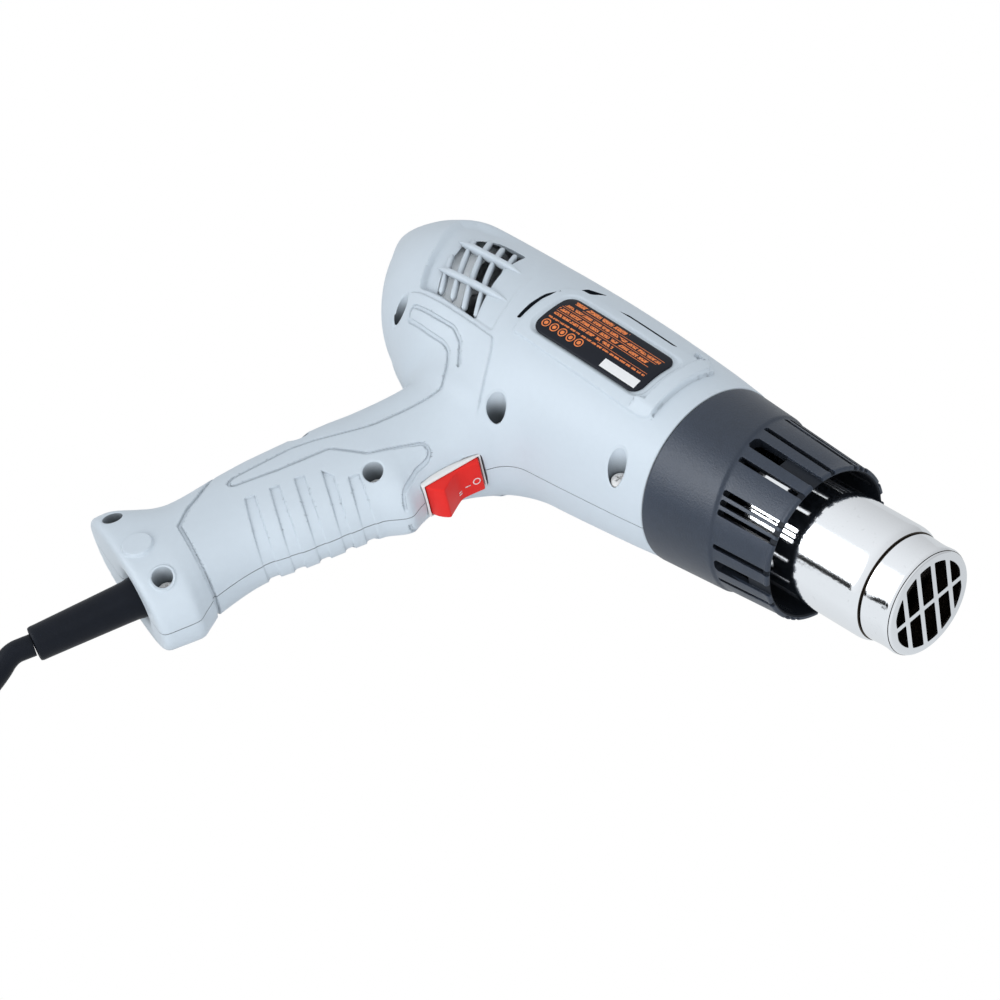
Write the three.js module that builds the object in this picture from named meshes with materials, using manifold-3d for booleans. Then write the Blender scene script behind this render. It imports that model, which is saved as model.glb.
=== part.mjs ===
// Hot air tool: pistol-grip casing in two halves, black nose shield, steel nozzle, mains cord.
// Millimetres. Pieces are modelled in the tool's own axes: x forward along the air path to the
// nozzle, y up from the handle, z out of the right side, with x = 0 where casing meets shield.
// The whole tool then lies on its left side on the plane z = 0.
import * as THREE from "three";
import { mergeVertices } from "three/addons/utils/BufferGeometryUtils.js";
import Module from "manifold-3d";

const wasm = await Module();
wasm.setup();

// Clearances and walls
const FIT = 0.3; // gap between two pieces that seat on each other
const SLACK = 0.5; // gap round a piece that only passes through
const WALL = 2.6; // casing wall
const SPLIT = 0.3; // gap between the casing halves
const REACH = 400; // longer than anything cut with it

// Casing barrel: place on the axis, height above it, depth below it, half width
const BARREL = [
  [-168.8, 13.5, -9, 6],
  [-167.4, 16, -7.2, 11.5],
  [-165, 18.6, -4, 16.4],
  [-161, 22.8, 1, 21.4],
  [-156, 27, 6.8, 26],
  [-150, 30.8, 14.5, 30.2],
  [-142, 34.2, 21.5, 34],
  [-130, 37, 27, 36.9],
  [-104, 37.6, 35.8, 37.6],
  [-90, 37.6, 37, 37.3],
  [-70, 37.1, 36.4, 36.8],
  [-48, 36, 35, 35.6],
  [-14, 33.1, 32.1, 32.7],
  [0, 31.4, 30.6, 31],
];
const BARREL_SIDES = 24;

// Handle, square to its own axis: distance down it, reach forward, reach back, half thickness
const HANDLE_TOP = -73; // where the handle's axis meets the barrel's
const HANDLE_RAKE = 16.4; // degrees from straight down, backward
const HANDLE = [
  [12, 33, 34, 31],
  [34, 23.4, 24.2, 23.5],
  [48, 21.2, 22.4, 18.5],
  [57, 22.4, 22.9, 17],
  [64, 25.6, 23.7, 16.4],
  [68.5, 28.2, 24.2, 16.2],
  [78, 24.2, 24.8, 16],
  [105, 21.8, 24.1, 16],
  [118, 19.8, 22.4, 16],
  [137, 23.6, 19.3, 16.6],
  [142, 27.6, 20.6, 17],
  [146.5, 31, 23.4, 17.2],
  [157, 29.4, 28.8, 17],
  [162.4, 26.3, 27.4, 15],
];
const HANDLE_SIDES = 16;
const HANDLE_SQUARE = 2.4; // power of the handle's rounded section, 2 being an ellipse

// Nose shield: rear spigot in the casing's mouth, smooth rear cone, slotted front
const SHIELD_END = 51.8;
const SHIELD_REAR_R = 31;
const SHIELD_END_R = 27;
const SHIELD_WALL = 2.3;
const SHIELD_STEP = 23; // where the slotted front starts, on the axis
const SHIELD_STEP_LEAN = 0.21; // how much the step leans back towards the top
const SHIELD_STEP_DROP = 0.6;
const SHIELD_SIDES = 40;
const SLOT_GROUPS = 8;
const SLOT_FRONT = 49.6;
const SLOT_THIN = 2;
const SLOT_WIDE = 5;
const SLOT_WIDE_LENGTH = 13;
const SLOT_NEAR = 6.4; // degrees between the slots of a close group
const SLOT_FAR = 15; // degrees from a wide slot to the thin ones beside it
const MOUTH_R = 28.2; // bore of the casing's front lip
const MOUTH_LIP = 3.5;
const SPIGOT_WALL = 2.6;
const SPIGOT_FLANGE = 1; // how far the flange behind the lip stands out
const SPIGOT_FLANGE_LENGTH = 2.4;

// Nozzle: deep-drawn tube with a rear flange, and a stamped cap in its front end
const NOZZLE_R = 19.55;
const NOZZLE_SHEET = 0.8;
const NOZZLE_END = 82.7;
const NOZZLE_FLANGE_T = 0.9;
const SEAT_RIB = 2; // ring rib in the casing behind the nozzle's flange
const CAP_R = 18.1;
const CAP_END = 94.4;
const CAP_SKIRT = 7; // length of the cap inside the tube
const CAP_ROUND = 1.8;
const CAP_FACE = 1;
const GRILLE_R = 14.9; // circle that the windows stop at
const GRILLE_ROWS = 5;
const GRILLE_PITCH = 6.4;
const GRILLE_BAR = 1.7;
const ROUND_SIDES = 32;

// Heater inside the nozzle
const SLEEVE_T = 0.8; // mica sleeve
const SLEEVE_END = 74;
const HEATER_BASE_T = 4;
const HEATER_BASE_AT = -3;
const CORE_R = 9.5;
const CORE_END = 66;
const CORE_POINTS = 6;
const CERAMIC_HOLE_R = 2.9;
const COIL_WIRE_R = 0.8;
const COIL_TURNS = 8;
const COIL_START = 6;
const COIL_END = 60;

// Motor, fan and the duct between fan and heater
const MOTOR_R = 15.5;
const MOTOR_REAR = -141;
const MOTOR_FRONT = -104;
const MOTOR_CAP_T = 3.4;
const MOTOR_NOSE = 2; // bearing boss before the motor
const MOTOR_NOSE_R = 5;
const SHAFT_R = 1.5;
const SHAFT_END = -77;
const FAN_REAR = -95;
const FAN_LENGTH = 13;
const FAN_HUB_R = 8;
const FAN_TIP_GAP = 1.9; // from the blades' tips to the duct's bore
const FAN_BLADES = 9;
const FAN_PITCH = 38; // blade angle in degrees from the fan's face
const DUCT_REAR = -98;
const DUCT_CONE = -78;
const DUCT_NECK = -42;
const DUCT_WALL = 1.5;
const DUCT_GAP = 4.47; // from the duct's rim to the casing's bore
const MOUNT_OVER = 1; // how much wider the mount's shroud is than the duct's rim
const MOUNT_REAR = -134;
const MOUNT_FRONT = -110;
const MOUNT_LEAN = 0.6; // how much the mount's front edge leans back towards the top
const MOUNT_WALL = 1.8;
const MOUNT_HUB_LENGTH = 14;
const MOUNT_SPOKE_LENGTH = 7;
const RIB_T = 3; // ring ribs that carry the mount and the duct
const RIB_SIDES = 24;
const BOARD_T = 1.6;
const BOARD_SIDE = 21;

const SHAFT_IN = 8; // shaft inside the motor
const FAN_CHORD = 12;
const FAN_BLADE_T = 1.2;
const DIODE_R = 1.6;
const DIODE_L = 8;
const WIRE_R = 1.1;
const WIRE_SIDES = 5;
const WIRE_SPREAD = 1.6; // of each wire of a pair from their middle
const WIRE_HOLE = [-50, -9]; // middle of the slot in the duct's underside, along and across
const WIRE_SLOT_LENGTH = 20;
const WIRE_SLOT_WIDTH = 7.4;
const MOTOR_WIRE_NOTCH = -102; // notch in the mount's edge for the motor's wire

// Air intake windows in each side of the barrel
const VENT_RIBS = [7.4, -5.8]; // height of the two long ribs
const VENT_RIB_T = 2.2;
const VENT_TOP = 16.5;
const VENT_FOOT = -15;
const VENT_LEAN = 0.62; // how much the bars lean forward going down
const VENT_REAR = -115.2; // rear edge of the windows at axis height
const VENT_PITCH = 6.4;
const VENT_BAR = 1.8;
const VENT_COLUMNS = 4;
const VENT_INNER = 24; // the windows are cut from here outward
const VENT_RIB_RISE = 0.8;
const VENT_RIB_SPAN = [-124, -84];

// Label, its raised frame and the bar before it, on the barrel's side
const LABEL = { rear: -68, front: -18.4, top: 9.6, foot: -9.2, round: 4, t: 0.5 };
const LABEL_MARGIN = 2;
const LABEL_LIFT = 0.3; // label's back over the casing
const FRAME = { rear: -73.4, front: -8.4, top: 16, foot: -14, round: 3, rise: 1 };
const BAR = { rear: -17, front: -8.4, top: 15.4, foot: -13.6, rise: 1.8 };

// Screws, all along z: place and height of the head's seat
const SCREWS = {
  rear: [-125.5, -20.8, 14],
  waist: [-63.6, -32.6, 9],
  front: [-12.5, -26.4, 10],
  grip_front: [-79.4, -75.2, 6],
  grip_back: [-116.4, -78.2, 5],
  butt_front: [-96, -151, 8],
  butt_back: [-132.6, -144.8, 8],
};
const SCREW_HEAD_R = 3.1;
const SCREW_HEAD_T = 2;
const SCREW_SHANK_R = 1.5;
const SCREW_GRIP = 9; // length in the left half
const WELL_R = 3.6;
const BOSS_WALL = 1.2;
const PEG_SIDES = 10;
const SHANK_SIDES = 8;

// Rocker switch, in its own axes: x out of the handle, y up along its face, z across
const SWITCH_PLACE = [-65, -54.75];
const SWITCH_TILT = -8.9; // degrees about z
const BEZEL_LENGTH = 22.8;
const BEZEL_WIDTH = 14;
const BEZEL_T = 1.8;
const BODY_LENGTH = 21;
const BODY_WIDTH = 12.6;
const BODY_FLOOR = 2;
const BODY_DEPTH = 17;
const ROCKER_R = 9.3; // radius of the rocker's rounded ends about its pin
const ROCKER_WIDTH = 10.2;
const ROCKER_PIN_X = -2.6; // depth of the pin below the bezel's face
const ROCKER_PIN_R = 1;
const ROCKER_THROW = 12; // degrees from one position to the next
const ROCKER_RISE = 3.4; // height of the rocker's ends over the face at mid throw
const ROCKER_DIP = 1; // height of its middle
const PLUNGER_GAP = 0.4; // from the rocker's plunger to the lever
const LEVER_LENGTH = 13;
const LEVER_WIDTH = 5;
const LEVER_T = 0.9;
const LEVER_TILT = -6; // degrees at rest
const LEVER_CLEAR = 1; // underside of the lever over the end terminals' tips
const TERMINAL = { width: 6.3, t: 0.8, out: 8, tip: 2.9, pitch: 6 };

// Cord, its strain relief and clamp
const CORD_R = 3.75;
const RELIEF_OUT = 34; // length outside the butt
const RELIEF_ROOT_R = 6.7;
const RELIEF_END_R = 6;
const RELIEF_FLANGE_R = 9;
const RELIEF_FLANGE_T = 3;
const RELIEF_AHEAD = 7.8; // the cord leaves ahead of the handle's axis
const STUB_LENGTH = 22; // cord inside the handle
const CLAMP = { length: 20, width: 8, t: 4, at: 141 };
const CLAMP_SCREW_PITCH = 13.5;
const COIL_INNER_R = 31; // to the cord's centre
const COIL_PITCH = 8;
const COIL_LAYER_TURNS = 2.6;
const COIL_LAYERS = 2;
const COIL_STEPS = 24;
const COIL_SIDES = 6;
const CORD_SIDES = 10;
const TIE = { width: 9, t: 0.7 };
// Free routes on the floor: steps in x and y from where the stretch starts, height of its centre
const LEAD_ROUTE = [
  [-1.2, -14, 7.2],
  [2.6, -25, 5],
  [6.6, -36, 4.75],
];
const COIL_START_AT = [9.2, -54]; // first turn's start, from the strain relief's end
const COIL_HEADING = -80; // degrees from x, the cord's direction there
const TAIL_ROUTE = [
  [-24, -11.5, 10],
  [-43, -13.5, 5.6],
  [-62, -8, 5],
];
const PLUG_AT = [-86, 17]; // step in x and y from the coil's end
const PLUG_HEADING = 118; // degrees from x
const TIE_AT = 100; // degrees round the coil
const PLUG = { length: 36, width: 26, neck: 12, neckWidth: 12, t: 18, blade: 17.5, bladeWidth: 6.3, bladeT: 1.5 };
const PLUG_PITCH = 12.7;

// Materials
const finish = (color, roughness, metalness = 0) => (
  new THREE.MeshStandardMaterial({ color, roughness, metalness })
);
const greyPlastic = finish(0xc9d2da, 0.45);
const darkPlastic = finish(0x2e333c, 0.5);
const chrome = finish(0xd8dade, 0.12, 1);
const steel = finish(0xa7a9ac, 0.35, 1);
const brass = finish(0xc2a35a, 0.35, 1);
const mica = finish(0xb9a98a, 0.7);
const ceramic = finish(0xe6e1d6, 0.8);
const heaterAlloy = finish(0x6e6a66, 0.5, 1);
const redPlastic = finish(0xd8202a, 0.35);
const switchPlastic = finish(0x17181b, 0.4);
const rubber = finish(0x1d1f24, 0.65);
const labelFoil = finish(0x24272d, 0.4);
const boardGreen = finish(0x2f5a3a, 0.6);

// Solids: closed three.js geometry to a solid and back, joined and cut between
function toSolid(geometry) {
  const bare = geometry.clone();
  bare.deleteAttribute("normal");
  bare.deleteAttribute("uv");
  const merged = mergeVertices(bare, 1e-4);
  const place = merged.attributes.position;
  const index = merged.index.array;
  const corners = [];
  const [a, b, c] = [new THREE.Vector3(), new THREE.Vector3(), new THREE.Vector3()];
  let volume = 0;
  for (let i = 0; i < index.length; i += 3) {
    const [p, q, r] = index.slice(i, i + 3);
    if (p === q || q === r || r === p) continue;
    corners.push(p, q, r);
    a.fromBufferAttribute(place, p);
    b.fromBufferAttribute(place, q);
    c.fromBufferAttribute(place, r);
    volume += a.dot(b.cross(c));
  }
  if (volume < 0) corners.reverse();
  return new wasm.Manifold(new wasm.Mesh({
    numProp: 3,
    vertProperties: new Float32Array(place.array),
    triVerts: new Uint32Array(corners),
  }));
}

function toGeometry(solid) {
  const mesh = solid.getMesh();
  const geometry = new THREE.BufferGeometry();
  geometry.setAttribute("position", new THREE.BufferAttribute(mesh.vertProperties, 3));
  geometry.setIndex(new THREE.BufferAttribute(mesh.triVerts, 1));
  geometry.computeVertexNormals();
  return geometry;
}

const join = (...solids) => solids.reduce((all, next) => all.add(next));
const cut = (solid, ...tools) => tools.reduce((left, tool) => left.subtract(tool), solid);
const degrees = THREE.MathUtils.degToRad;

function moved(geometry, x, y, z, turnX = 0, turnY = 0, turnZ = 0) {
  const place = new THREE.Matrix4();
  place.makeRotationFromEuler(new THREE.Euler(turnX, turnY, turnZ));
  place.setPosition(x, y, z);
  return geometry.clone().applyMatrix4(place);
}

// A box between two corners
function block(x0, x1, y0, y1, z0, z1) {
  const box = new THREE.BoxGeometry(x1 - x0, y1 - y0, z1 - z0);
  return toSolid(moved(box, (x0 + x1) / 2, (y0 + y1) / 2, (z0 + z1) / 2));
}

// A profile of [x, radius] points turned about the x axis
function turned(profile, sides = ROUND_SIDES) {
  const points = profile.map(([x, r]) => new THREE.Vector2(r, x));
  return toSolid(new THREE.LatheGeometry(points, sides).rotateZ(-Math.PI / 2));
}

const disc = (x0, x1, r, sides) => turned([[x0, 0], [x0, r], [x1, r], [x1, 0]], sides);

function ring(x0, x1, inner, outer, sides) {
  return turned([[x0, inner], [x1, inner], [x1, outer], [x0, outer], [x0, inner]], sides);
}

// A round peg along z
function peg(x, y, z0, z1, r, sides = PEG_SIDES) {
  const rod = new THREE.CylinderGeometry(r, r, z1 - z0, sides);
  return toSolid(moved(rod, x, y, (z0 + z1) / 2, Math.PI / 2));
}

// An outline in x and y, carried along z
function slab(points, z0, z1) {
  const shape = new THREE.Shape(points.map(([x, y]) => new THREE.Vector2(x, y)));
  const body = new THREE.ExtrudeGeometry(shape, { depth: z1 - z0, bevelEnabled: false });
  return toSolid(body.translate(0, 0, z0));
}

function roundedSlab({ rear, front, top, foot, round }, z0, z1) {
  const shape = new THREE.Shape();
  shape.moveTo(rear + round, foot);
  shape.lineTo(front - round, foot);
  shape.absarc(front - round, foot + round, round, -Math.PI / 2, 0);
  shape.absarc(front - round, top - round, round, 0, Math.PI / 2);
  shape.absarc(rear + round, top - round, round, Math.PI / 2, Math.PI);
  shape.absarc(rear + round, foot + round, round, Math.PI, 1.5 * Math.PI);
  const body = new THREE.ExtrudeGeometry(shape, {
    depth: z1 - z0,
    bevelEnabled: false,
    curveSegments: 2,
  });
  return toSolid(body.translate(0, 0, z0));
}

// A unit cylinder whose rings are moved to stations: place(ring, across, along, point)
function loft(stations, sides, place) {
  const rings = stations.length - 1;
  const geometry = new THREE.CylinderGeometry(1, 1, rings, sides, rings);
  const position = geometry.attributes.position;
  const point = new THREE.Vector3();
  for (let i = 0; i < position.count; i++) {
    point.fromBufferAttribute(position, i);
    const station = stations[Math.round(point.y + rings / 2)];
    place(station, point.x, point.z, point);
    position.setXYZ(i, point.x, point.y, point.z);
  }
  return toSolid(geometry);
}

// Barrel skin, set in from the outside by a wall, or out from it where the wall is negative
function barrel(inset) {
  const stations = BARREL.map(([x, top, depth, half], i) => {
    const [x0, , , half0] = BARREL[Math.max(i - 1, 0)];
    const [x1, , , half1] = BARREL[Math.min(i + 1, BARREL.length - 1)];
    const slope = (half1 - half0) / (x1 - x0);
    const lean = Math.hypot(1, slope);
    const less = inset / lean;
    return [x + (inset * Math.max(slope, 0)) / lean, top - less, depth - less, half - less];
  });
  return loft(stations, BARREL_SIDES, ([x, top, depth, half], side, up, point) => {
    const middle = (top - depth) / 2;
    point.set(x, middle + (up * (top + depth)) / 2, half * side);
  });
}

// Handle axes: down along the handle, and forward square to it
const rake = degrees(HANDLE_RAKE);
const down = new THREE.Vector2(-Math.sin(rake), -Math.cos(rake));
const forward = new THREE.Vector2(Math.cos(rake), -Math.sin(rake));

function onHandle(distance, ahead) {
  return [
    HANDLE_TOP + down.x * distance + forward.x * ahead,
    down.y * distance + forward.y * ahead,
  ];
}

function handle(inset) {
  const last = HANDLE.length - 1;
  const stations = HANDLE.map(([distance, ahead, behind, half], i) => (
    [i === last ? distance - inset : distance, ahead - inset, behind - inset, half - inset]
  ));
  const square = (share) => Math.sign(share) * Math.abs(share) ** (2 / HANDLE_SQUARE);
  return loft(stations, HANDLE_SIDES, ([distance, ahead, behind, half], side, along, point) => {
    const middle = (ahead - behind) / 2;
    const across = middle + square(along) * ((ahead + behind) / 2);
    const [x, y] = onHandle(distance, across);
    point.set(x, y, half * square(side));
  });
}

// A peg along the handle's axis, from one distance down it to another
function downHandle(from, to, r0, r1 = r0, sides = 24) {
  const [x, y] = onHandle((from + to) / 2, RELIEF_AHEAD);
  const rod = new THREE.CylinderGeometry(r0, r1, to - from, sides);
  return toSolid(moved(rod, x, y, 0, 0, 0, -rake));
}

// A box in the handle's axes
function handleBlock(from, to, back, ahead, z0, z1) {
  const box = new THREE.BoxGeometry(ahead - back, to - from, z1 - z0);
  const [x, y] = onHandle((from + to) / 2, (back + ahead) / 2);
  return toSolid(moved(box, x, y, (z0 + z1) / 2, 0, 0, -rake));
}

const buttEnd = HANDLE[HANDLE.length - 1][0];

// Scene graph: the tool group lies on the floor, the cord's free stretches stand beside it
const object = new THREE.Group();
const tool = new THREE.Group();
object.add(tool);

function piece(name, solid, material, parent = tool) {
  const mesh = new THREE.Mesh(toGeometry(solid), material);
  mesh.name = name;
  parent.add(mesh);
  return mesh;
}

// Air intake windows: rows between the long ribs, with bars that lean
function ventWindows(side) {
  const edges = [VENT_TOP, ...VENT_RIBS, VENT_FOOT];
  const windows = [];
  for (let row = 0; row < edges.length - 1; row++) {
    const top = edges[row] - (row > 0 ? VENT_RIB_T / 2 : 0);
    const foot = edges[row + 1] + (row < edges.length - 2 ? VENT_RIB_T / 2 : 0);
    for (let column = 0; column < VENT_COLUMNS; column++) {
      const rear = VENT_REAR + column * VENT_PITCH;
      const front = rear + VENT_PITCH - VENT_BAR;
      const points = [
        [rear - VENT_LEAN * foot, foot],
        [front - VENT_LEAN * foot, foot],
        [front - VENT_LEAN * top, top],
        [rear - VENT_LEAN * top, top],
      ];
      const [z0, z1] = side > 0 ? [VENT_INNER, REACH] : [-REACH, -VENT_INNER];
      windows.push(slab(points, z0, z1));
    }
  }
  return join(...windows);
}


// Casing: one hollow shell with its ribs and bosses, then cut into halves
const mouth = BARREL[BARREL.length - 1][0];
const lipRear = mouth - MOUTH_LIP;
const spigotFront = lipRear - FIT;
const spigotRear = spigotFront - SPIGOT_FLANGE_LENGTH;
const nozzleFlangeFront = spigotRear - FIT;
const nozzleFlangeRear = nozzleFlangeFront - NOZZLE_FLANGE_T;
const seatFront = nozzleFlangeRear - FIT;
const seatRear = seatFront - SEAT_RIB;
const nozzleBore = NOZZLE_R - NOZZLE_SHEET;
const ductNeckR = NOZZLE_R;
const mountMiddle = MOUNT_REAR + RIB_T;
const barrelHalf = (x) => {
  const next = BARREL.findIndex(([at]) => at > x);
  const [[x0, , , half0], [x1, , , half1]] = [BARREL[next - 1], BARREL[next]];
  return half0 + ((half1 - half0) * (x - x0)) / (x1 - x0);
};
const ductRimR = barrelHalf(DUCT_REAR) - WALL - DUCT_GAP;
const mountR = ductRimR + MOUNT_OVER;
const fanTipR = ductRimR - DUCT_WALL - FAN_TIP_GAP;
const ductRibAt = DUCT_CONE - RIB_T;
const bothSides = (outline) => join(roundedSlab(outline, 0, REACH), roundedSlab(outline, -REACH, 0));
const labelRoom = {
  rear: LABEL.rear - LABEL_MARGIN,
  front: LABEL.front + LABEL_MARGIN / 2,
  top: LABEL.top + LABEL_MARGIN,
  foot: LABEL.foot - LABEL_MARGIN,
  round: LABEL.round,
};
const labelFrame = cut(barrel(-FRAME.rise).intersect(bothSides(FRAME)), bothSides(labelRoom));
const noseBar = barrel(-BAR.rise).intersect(
  block(BAR.rear, BAR.front, BAR.foot, BAR.top, -REACH, REACH),
);
const ventRibs = VENT_RIBS.map((y) => barrel(-VENT_RIB_RISE).intersect(
  block(...VENT_RIB_SPAN, y - VENT_RIB_T / 2, y + VENT_RIB_T / 2, -REACH, REACH),
));
const skin = join(barrel(0), handle(0), labelFrame, noseBar, ...ventRibs);
const spigotR = MOUTH_R - FIT;
const hollow = join(
  barrel(WALL).intersect(block(-REACH, lipRear, -REACH, REACH, -REACH, REACH)),
  handle(WALL),
  disc(seatFront, lipRear, spigotR + SPIGOT_FLANGE + FIT, SHIELD_SIDES),
);
const inSkin = join(barrel(WALL / 2), handle(WALL / 2));
const ribs = join(
  ring(seatRear, seatFront, ductNeckR + FIT, MOUTH_R + WALL, RIB_SIDES),
  ring(mountMiddle - RIB_T / 2, mountMiddle + RIB_T / 2, mountR + FIT, REACH, RIB_SIDES),
  ring(ductRibAt - RIB_T / 2, ductRibAt + RIB_T / 2, ductRimR + FIT, REACH, RIB_SIDES),
).intersect(barrel(WALL / 2));

const switchPlace = new THREE.Matrix4().makeRotationZ(degrees(SWITCH_TILT));
switchPlace.setPosition(SWITCH_PLACE[0], SWITCH_PLACE[1], 0);
const atSwitch = (solid) => toSolid(toGeometry(solid).applyMatrix4(switchPlace));

function acrossFace(x0, x1, length, width) {
  return block(x0, x1, -length / 2, length / 2, -width / 2, width / 2);
}

const bezelSeat = atSwitch(
  acrossFace(-BEZEL_T - FIT, REACH / 4, BEZEL_LENGTH + 2 * FIT, BEZEL_WIDTH + 2 * FIT),
);
const bodyRoom = atSwitch(
  acrossFace(-BODY_DEPTH - FIT, 0, BODY_LENGTH + 2 * FIT, BODY_WIDTH + 2 * FIT),
);
const reliefHole = downHandle(buttEnd - WALL * 2, buttEnd + WALL, RELIEF_ROOT_R + FIT);
const mouthBore = disc(lipRear - WALL, mouth + WALL, MOUTH_R, SHIELD_SIDES);
const shell = cut(
  join(cut(skin, hollow), ribs),
  mouthBore,
  bezelSeat,
  bodyRoom,
  reliefHole,
  ventWindows(1),
  ventWindows(-1),
);

const wellBoss = ([x, y]) => peg(x, y, 0, REACH, WELL_R + BOSS_WALL).intersect(inSkin);
const pilotBoss = ([x, y]) => (
  peg(x, y, -REACH, 0, SCREW_SHANK_R + FIT + BOSS_WALL, SHANK_SIDES).intersect(inSkin)
);
const screwPlaces = Object.values(SCREWS);
const rightHalf = cut(
  join(shell, ...screwPlaces.map(wellBoss)).intersect(
    block(-REACH, REACH, -REACH, REACH, SPLIT / 2, REACH),
  ),
  ...screwPlaces.map(([x, y, seat]) => peg(x, y, seat, REACH, WELL_R)),
  ...screwPlaces.map(([x, y]) => peg(x, y, 0, REACH, SCREW_SHANK_R + FIT, SHANK_SIDES)),
);
const clampPlaces = [-1, 1].map((end) => (
  onHandle(CLAMP.at, RELIEF_AHEAD + (end * CLAMP_SCREW_PITCH) / 2)
));
const clampPosts = clampPlaces.map(([x, y]) => (
  peg(x, y, -REACH, CORD_R, SCREW_SHANK_R + FIT + BOSS_WALL / 2, SHANK_SIDES)
    .intersect(join(inSkin, block(-REACH, REACH, -REACH, REACH, 0, CORD_R)))
));
const clampSaddle = handleBlock(
  CLAMP.at - CLAMP.width / 2,
  CLAMP.at + CLAMP.width / 2,
  RELIEF_AHEAD - CORD_R,
  RELIEF_AHEAD + CORD_R,
  -REACH,
  -CORD_R - FIT,
).intersect(inSkin);
const leftHalf = cut(
  join(
    join(shell, ...screwPlaces.map(pilotBoss)).intersect(
      block(-REACH, REACH, -REACH, REACH, -REACH, -SPLIT / 2),
    ),
    ...clampPosts,
    clampSaddle,
  ),
  ...screwPlaces.map(([x, y]) => (
    peg(x, y, -SCREW_GRIP - FIT, REACH, SCREW_SHANK_R + FIT, SHANK_SIDES)
  )),
  ...clampPlaces.map(([x, y]) => (
    peg(x, y, CORD_R - SCREW_GRIP, REACH, SCREW_SHANK_R + FIT, SHANK_SIDES)
  )),
);
piece("housing_right", rightHalf, greyPlastic);
piece("housing_left", leftHalf, greyPlastic);

// Casing screws
function screw(name, [x, y], seat, foot) {
  const head = peg(x, y, seat + FIT, seat + FIT + SCREW_HEAD_T, SCREW_HEAD_R);
  const shank = peg(x, y, foot, seat + FIT + SCREW_HEAD_T / 2, SCREW_SHANK_R, SHANK_SIDES);
  piece(name, join(head, shank), steel);
}
for (const [name, [x, y, seat]] of Object.entries(SCREWS)) {
  screw(`screw_${name}`, [x, y], seat, -SCREW_GRIP);
}

// Label plate, curved to the barrel
const labelPlate = cut(barrel(-LABEL_LIFT - LABEL.t), barrel(-LABEL_LIFT))
  .intersect(roundedSlab(LABEL, 0, REACH));
piece("label_plate", labelPlate, labelFoil);

// Nose shield: smooth rear cone, slotted front, spigot held behind the casing's lip
const shieldFront = mouth + FIT;
const shieldR = (x) => (
  SHIELD_REAR_R + ((SHIELD_END_R - SHIELD_REAR_R) * (x - shieldFront)) / (SHIELD_END - shieldFront)
);
const shieldInner = SHIELD_END_R - SHIELD_WALL;
const shieldBody = turned([
  [spigotRear, spigotR - SPIGOT_WALL],
  [shieldFront, spigotR - SPIGOT_WALL],
  [SHIELD_END, shieldInner],
  [SHIELD_END, SHIELD_END_R],
  [shieldFront, SHIELD_REAR_R],
  [shieldFront, spigotR],
  [spigotFront, spigotR],
  [spigotFront, spigotR + SPIGOT_FLANGE],
  [spigotRear, spigotR + SPIGOT_FLANGE],
  [spigotRear, spigotR - SPIGOT_WALL],
], SHIELD_SIDES);
const slotted = cut(
  ring(SHIELD_STEP, SHIELD_END + WALL, SHIELD_END_R - SHIELD_STEP_DROP, REACH, SHIELD_SIDES),
  turned([
    [SHIELD_STEP, 0],
    [SHIELD_STEP, shieldR(SHIELD_STEP) - SHIELD_STEP_DROP],
    [SHIELD_END + WALL, shieldR(SHIELD_END + WALL) - SHIELD_STEP_DROP],
    [SHIELD_END + WALL, 0],
  ], SHIELD_SIDES),
);

// A slot through the shield's wall at an angle about the axis, 0 being the top
function shieldSlot(angle, width, length) {
  const turn = degrees(angle);
  const rear = SHIELD_STEP - SHIELD_STEP_LEAN * SHIELD_END_R * Math.cos(turn) + FIT;
  const end = Math.min(rear + length, SLOT_FRONT);
  const radial = new THREE.BoxGeometry(end - rear, SHIELD_WALL * 6, width);
  radial.translate((end + rear) / 2, (SHIELD_REAR_R + SHIELD_END_R) / 2, 0);
  return toSolid(radial.rotateX(turn));
}
const slots = [];
for (let group = 0; group < SLOT_GROUPS; group++) {
  const middle = (360 / SLOT_GROUPS) * group;
  if (group % 2 === 0) {
    slots.push(shieldSlot(middle, SLOT_WIDE, SLOT_WIDE_LENGTH));
    slots.push(shieldSlot(middle - SLOT_FAR, SLOT_THIN, REACH));
    slots.push(shieldSlot(middle + SLOT_FAR, SLOT_THIN, REACH));
  } else {
    slots.push(shieldSlot(middle, SLOT_THIN, REACH));
    slots.push(shieldSlot(middle - SLOT_NEAR, SLOT_THIN, REACH));
    slots.push(shieldSlot(middle + SLOT_NEAR, SLOT_THIN, REACH));
  }
}
piece("nose_shield", cut(shieldBody, slotted, ...slots), darkPlastic);

// Nozzle tube and its stamped cap
piece("nozzle_tube", turned([
  [nozzleFlangeRear, nozzleBore],
  [NOZZLE_END, nozzleBore],
  [NOZZLE_END, NOZZLE_R],
  [nozzleFlangeFront, NOZZLE_R],
  [nozzleFlangeFront, spigotR],
  [nozzleFlangeRear, spigotR],
  [nozzleFlangeRear, nozzleBore],
]), chrome);
const skirtR = nozzleBore - FIT;
const capBody = turned([
  [NOZZLE_END - CAP_SKIRT, skirtR - NOZZLE_SHEET],
  [CAP_END - CAP_FACE, skirtR - NOZZLE_SHEET],
  [CAP_END - CAP_FACE, 0],
  [CAP_END, 0],
  [CAP_END, CAP_R - CAP_ROUND],
  [CAP_END - CAP_ROUND / 3, CAP_R - CAP_ROUND / 3],
  [CAP_END - CAP_ROUND, CAP_R],
  [NOZZLE_END, skirtR],
  [NOZZLE_END - CAP_SKIRT, skirtR],
  [NOZZLE_END - CAP_SKIRT, skirtR - NOZZLE_SHEET],
]);
const faceRear = CAP_END - 2 * CAP_FACE;
const bars = [block(faceRear, REACH, -REACH, REACH, -GRILLE_BAR / 2, GRILLE_BAR / 2)];
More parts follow.
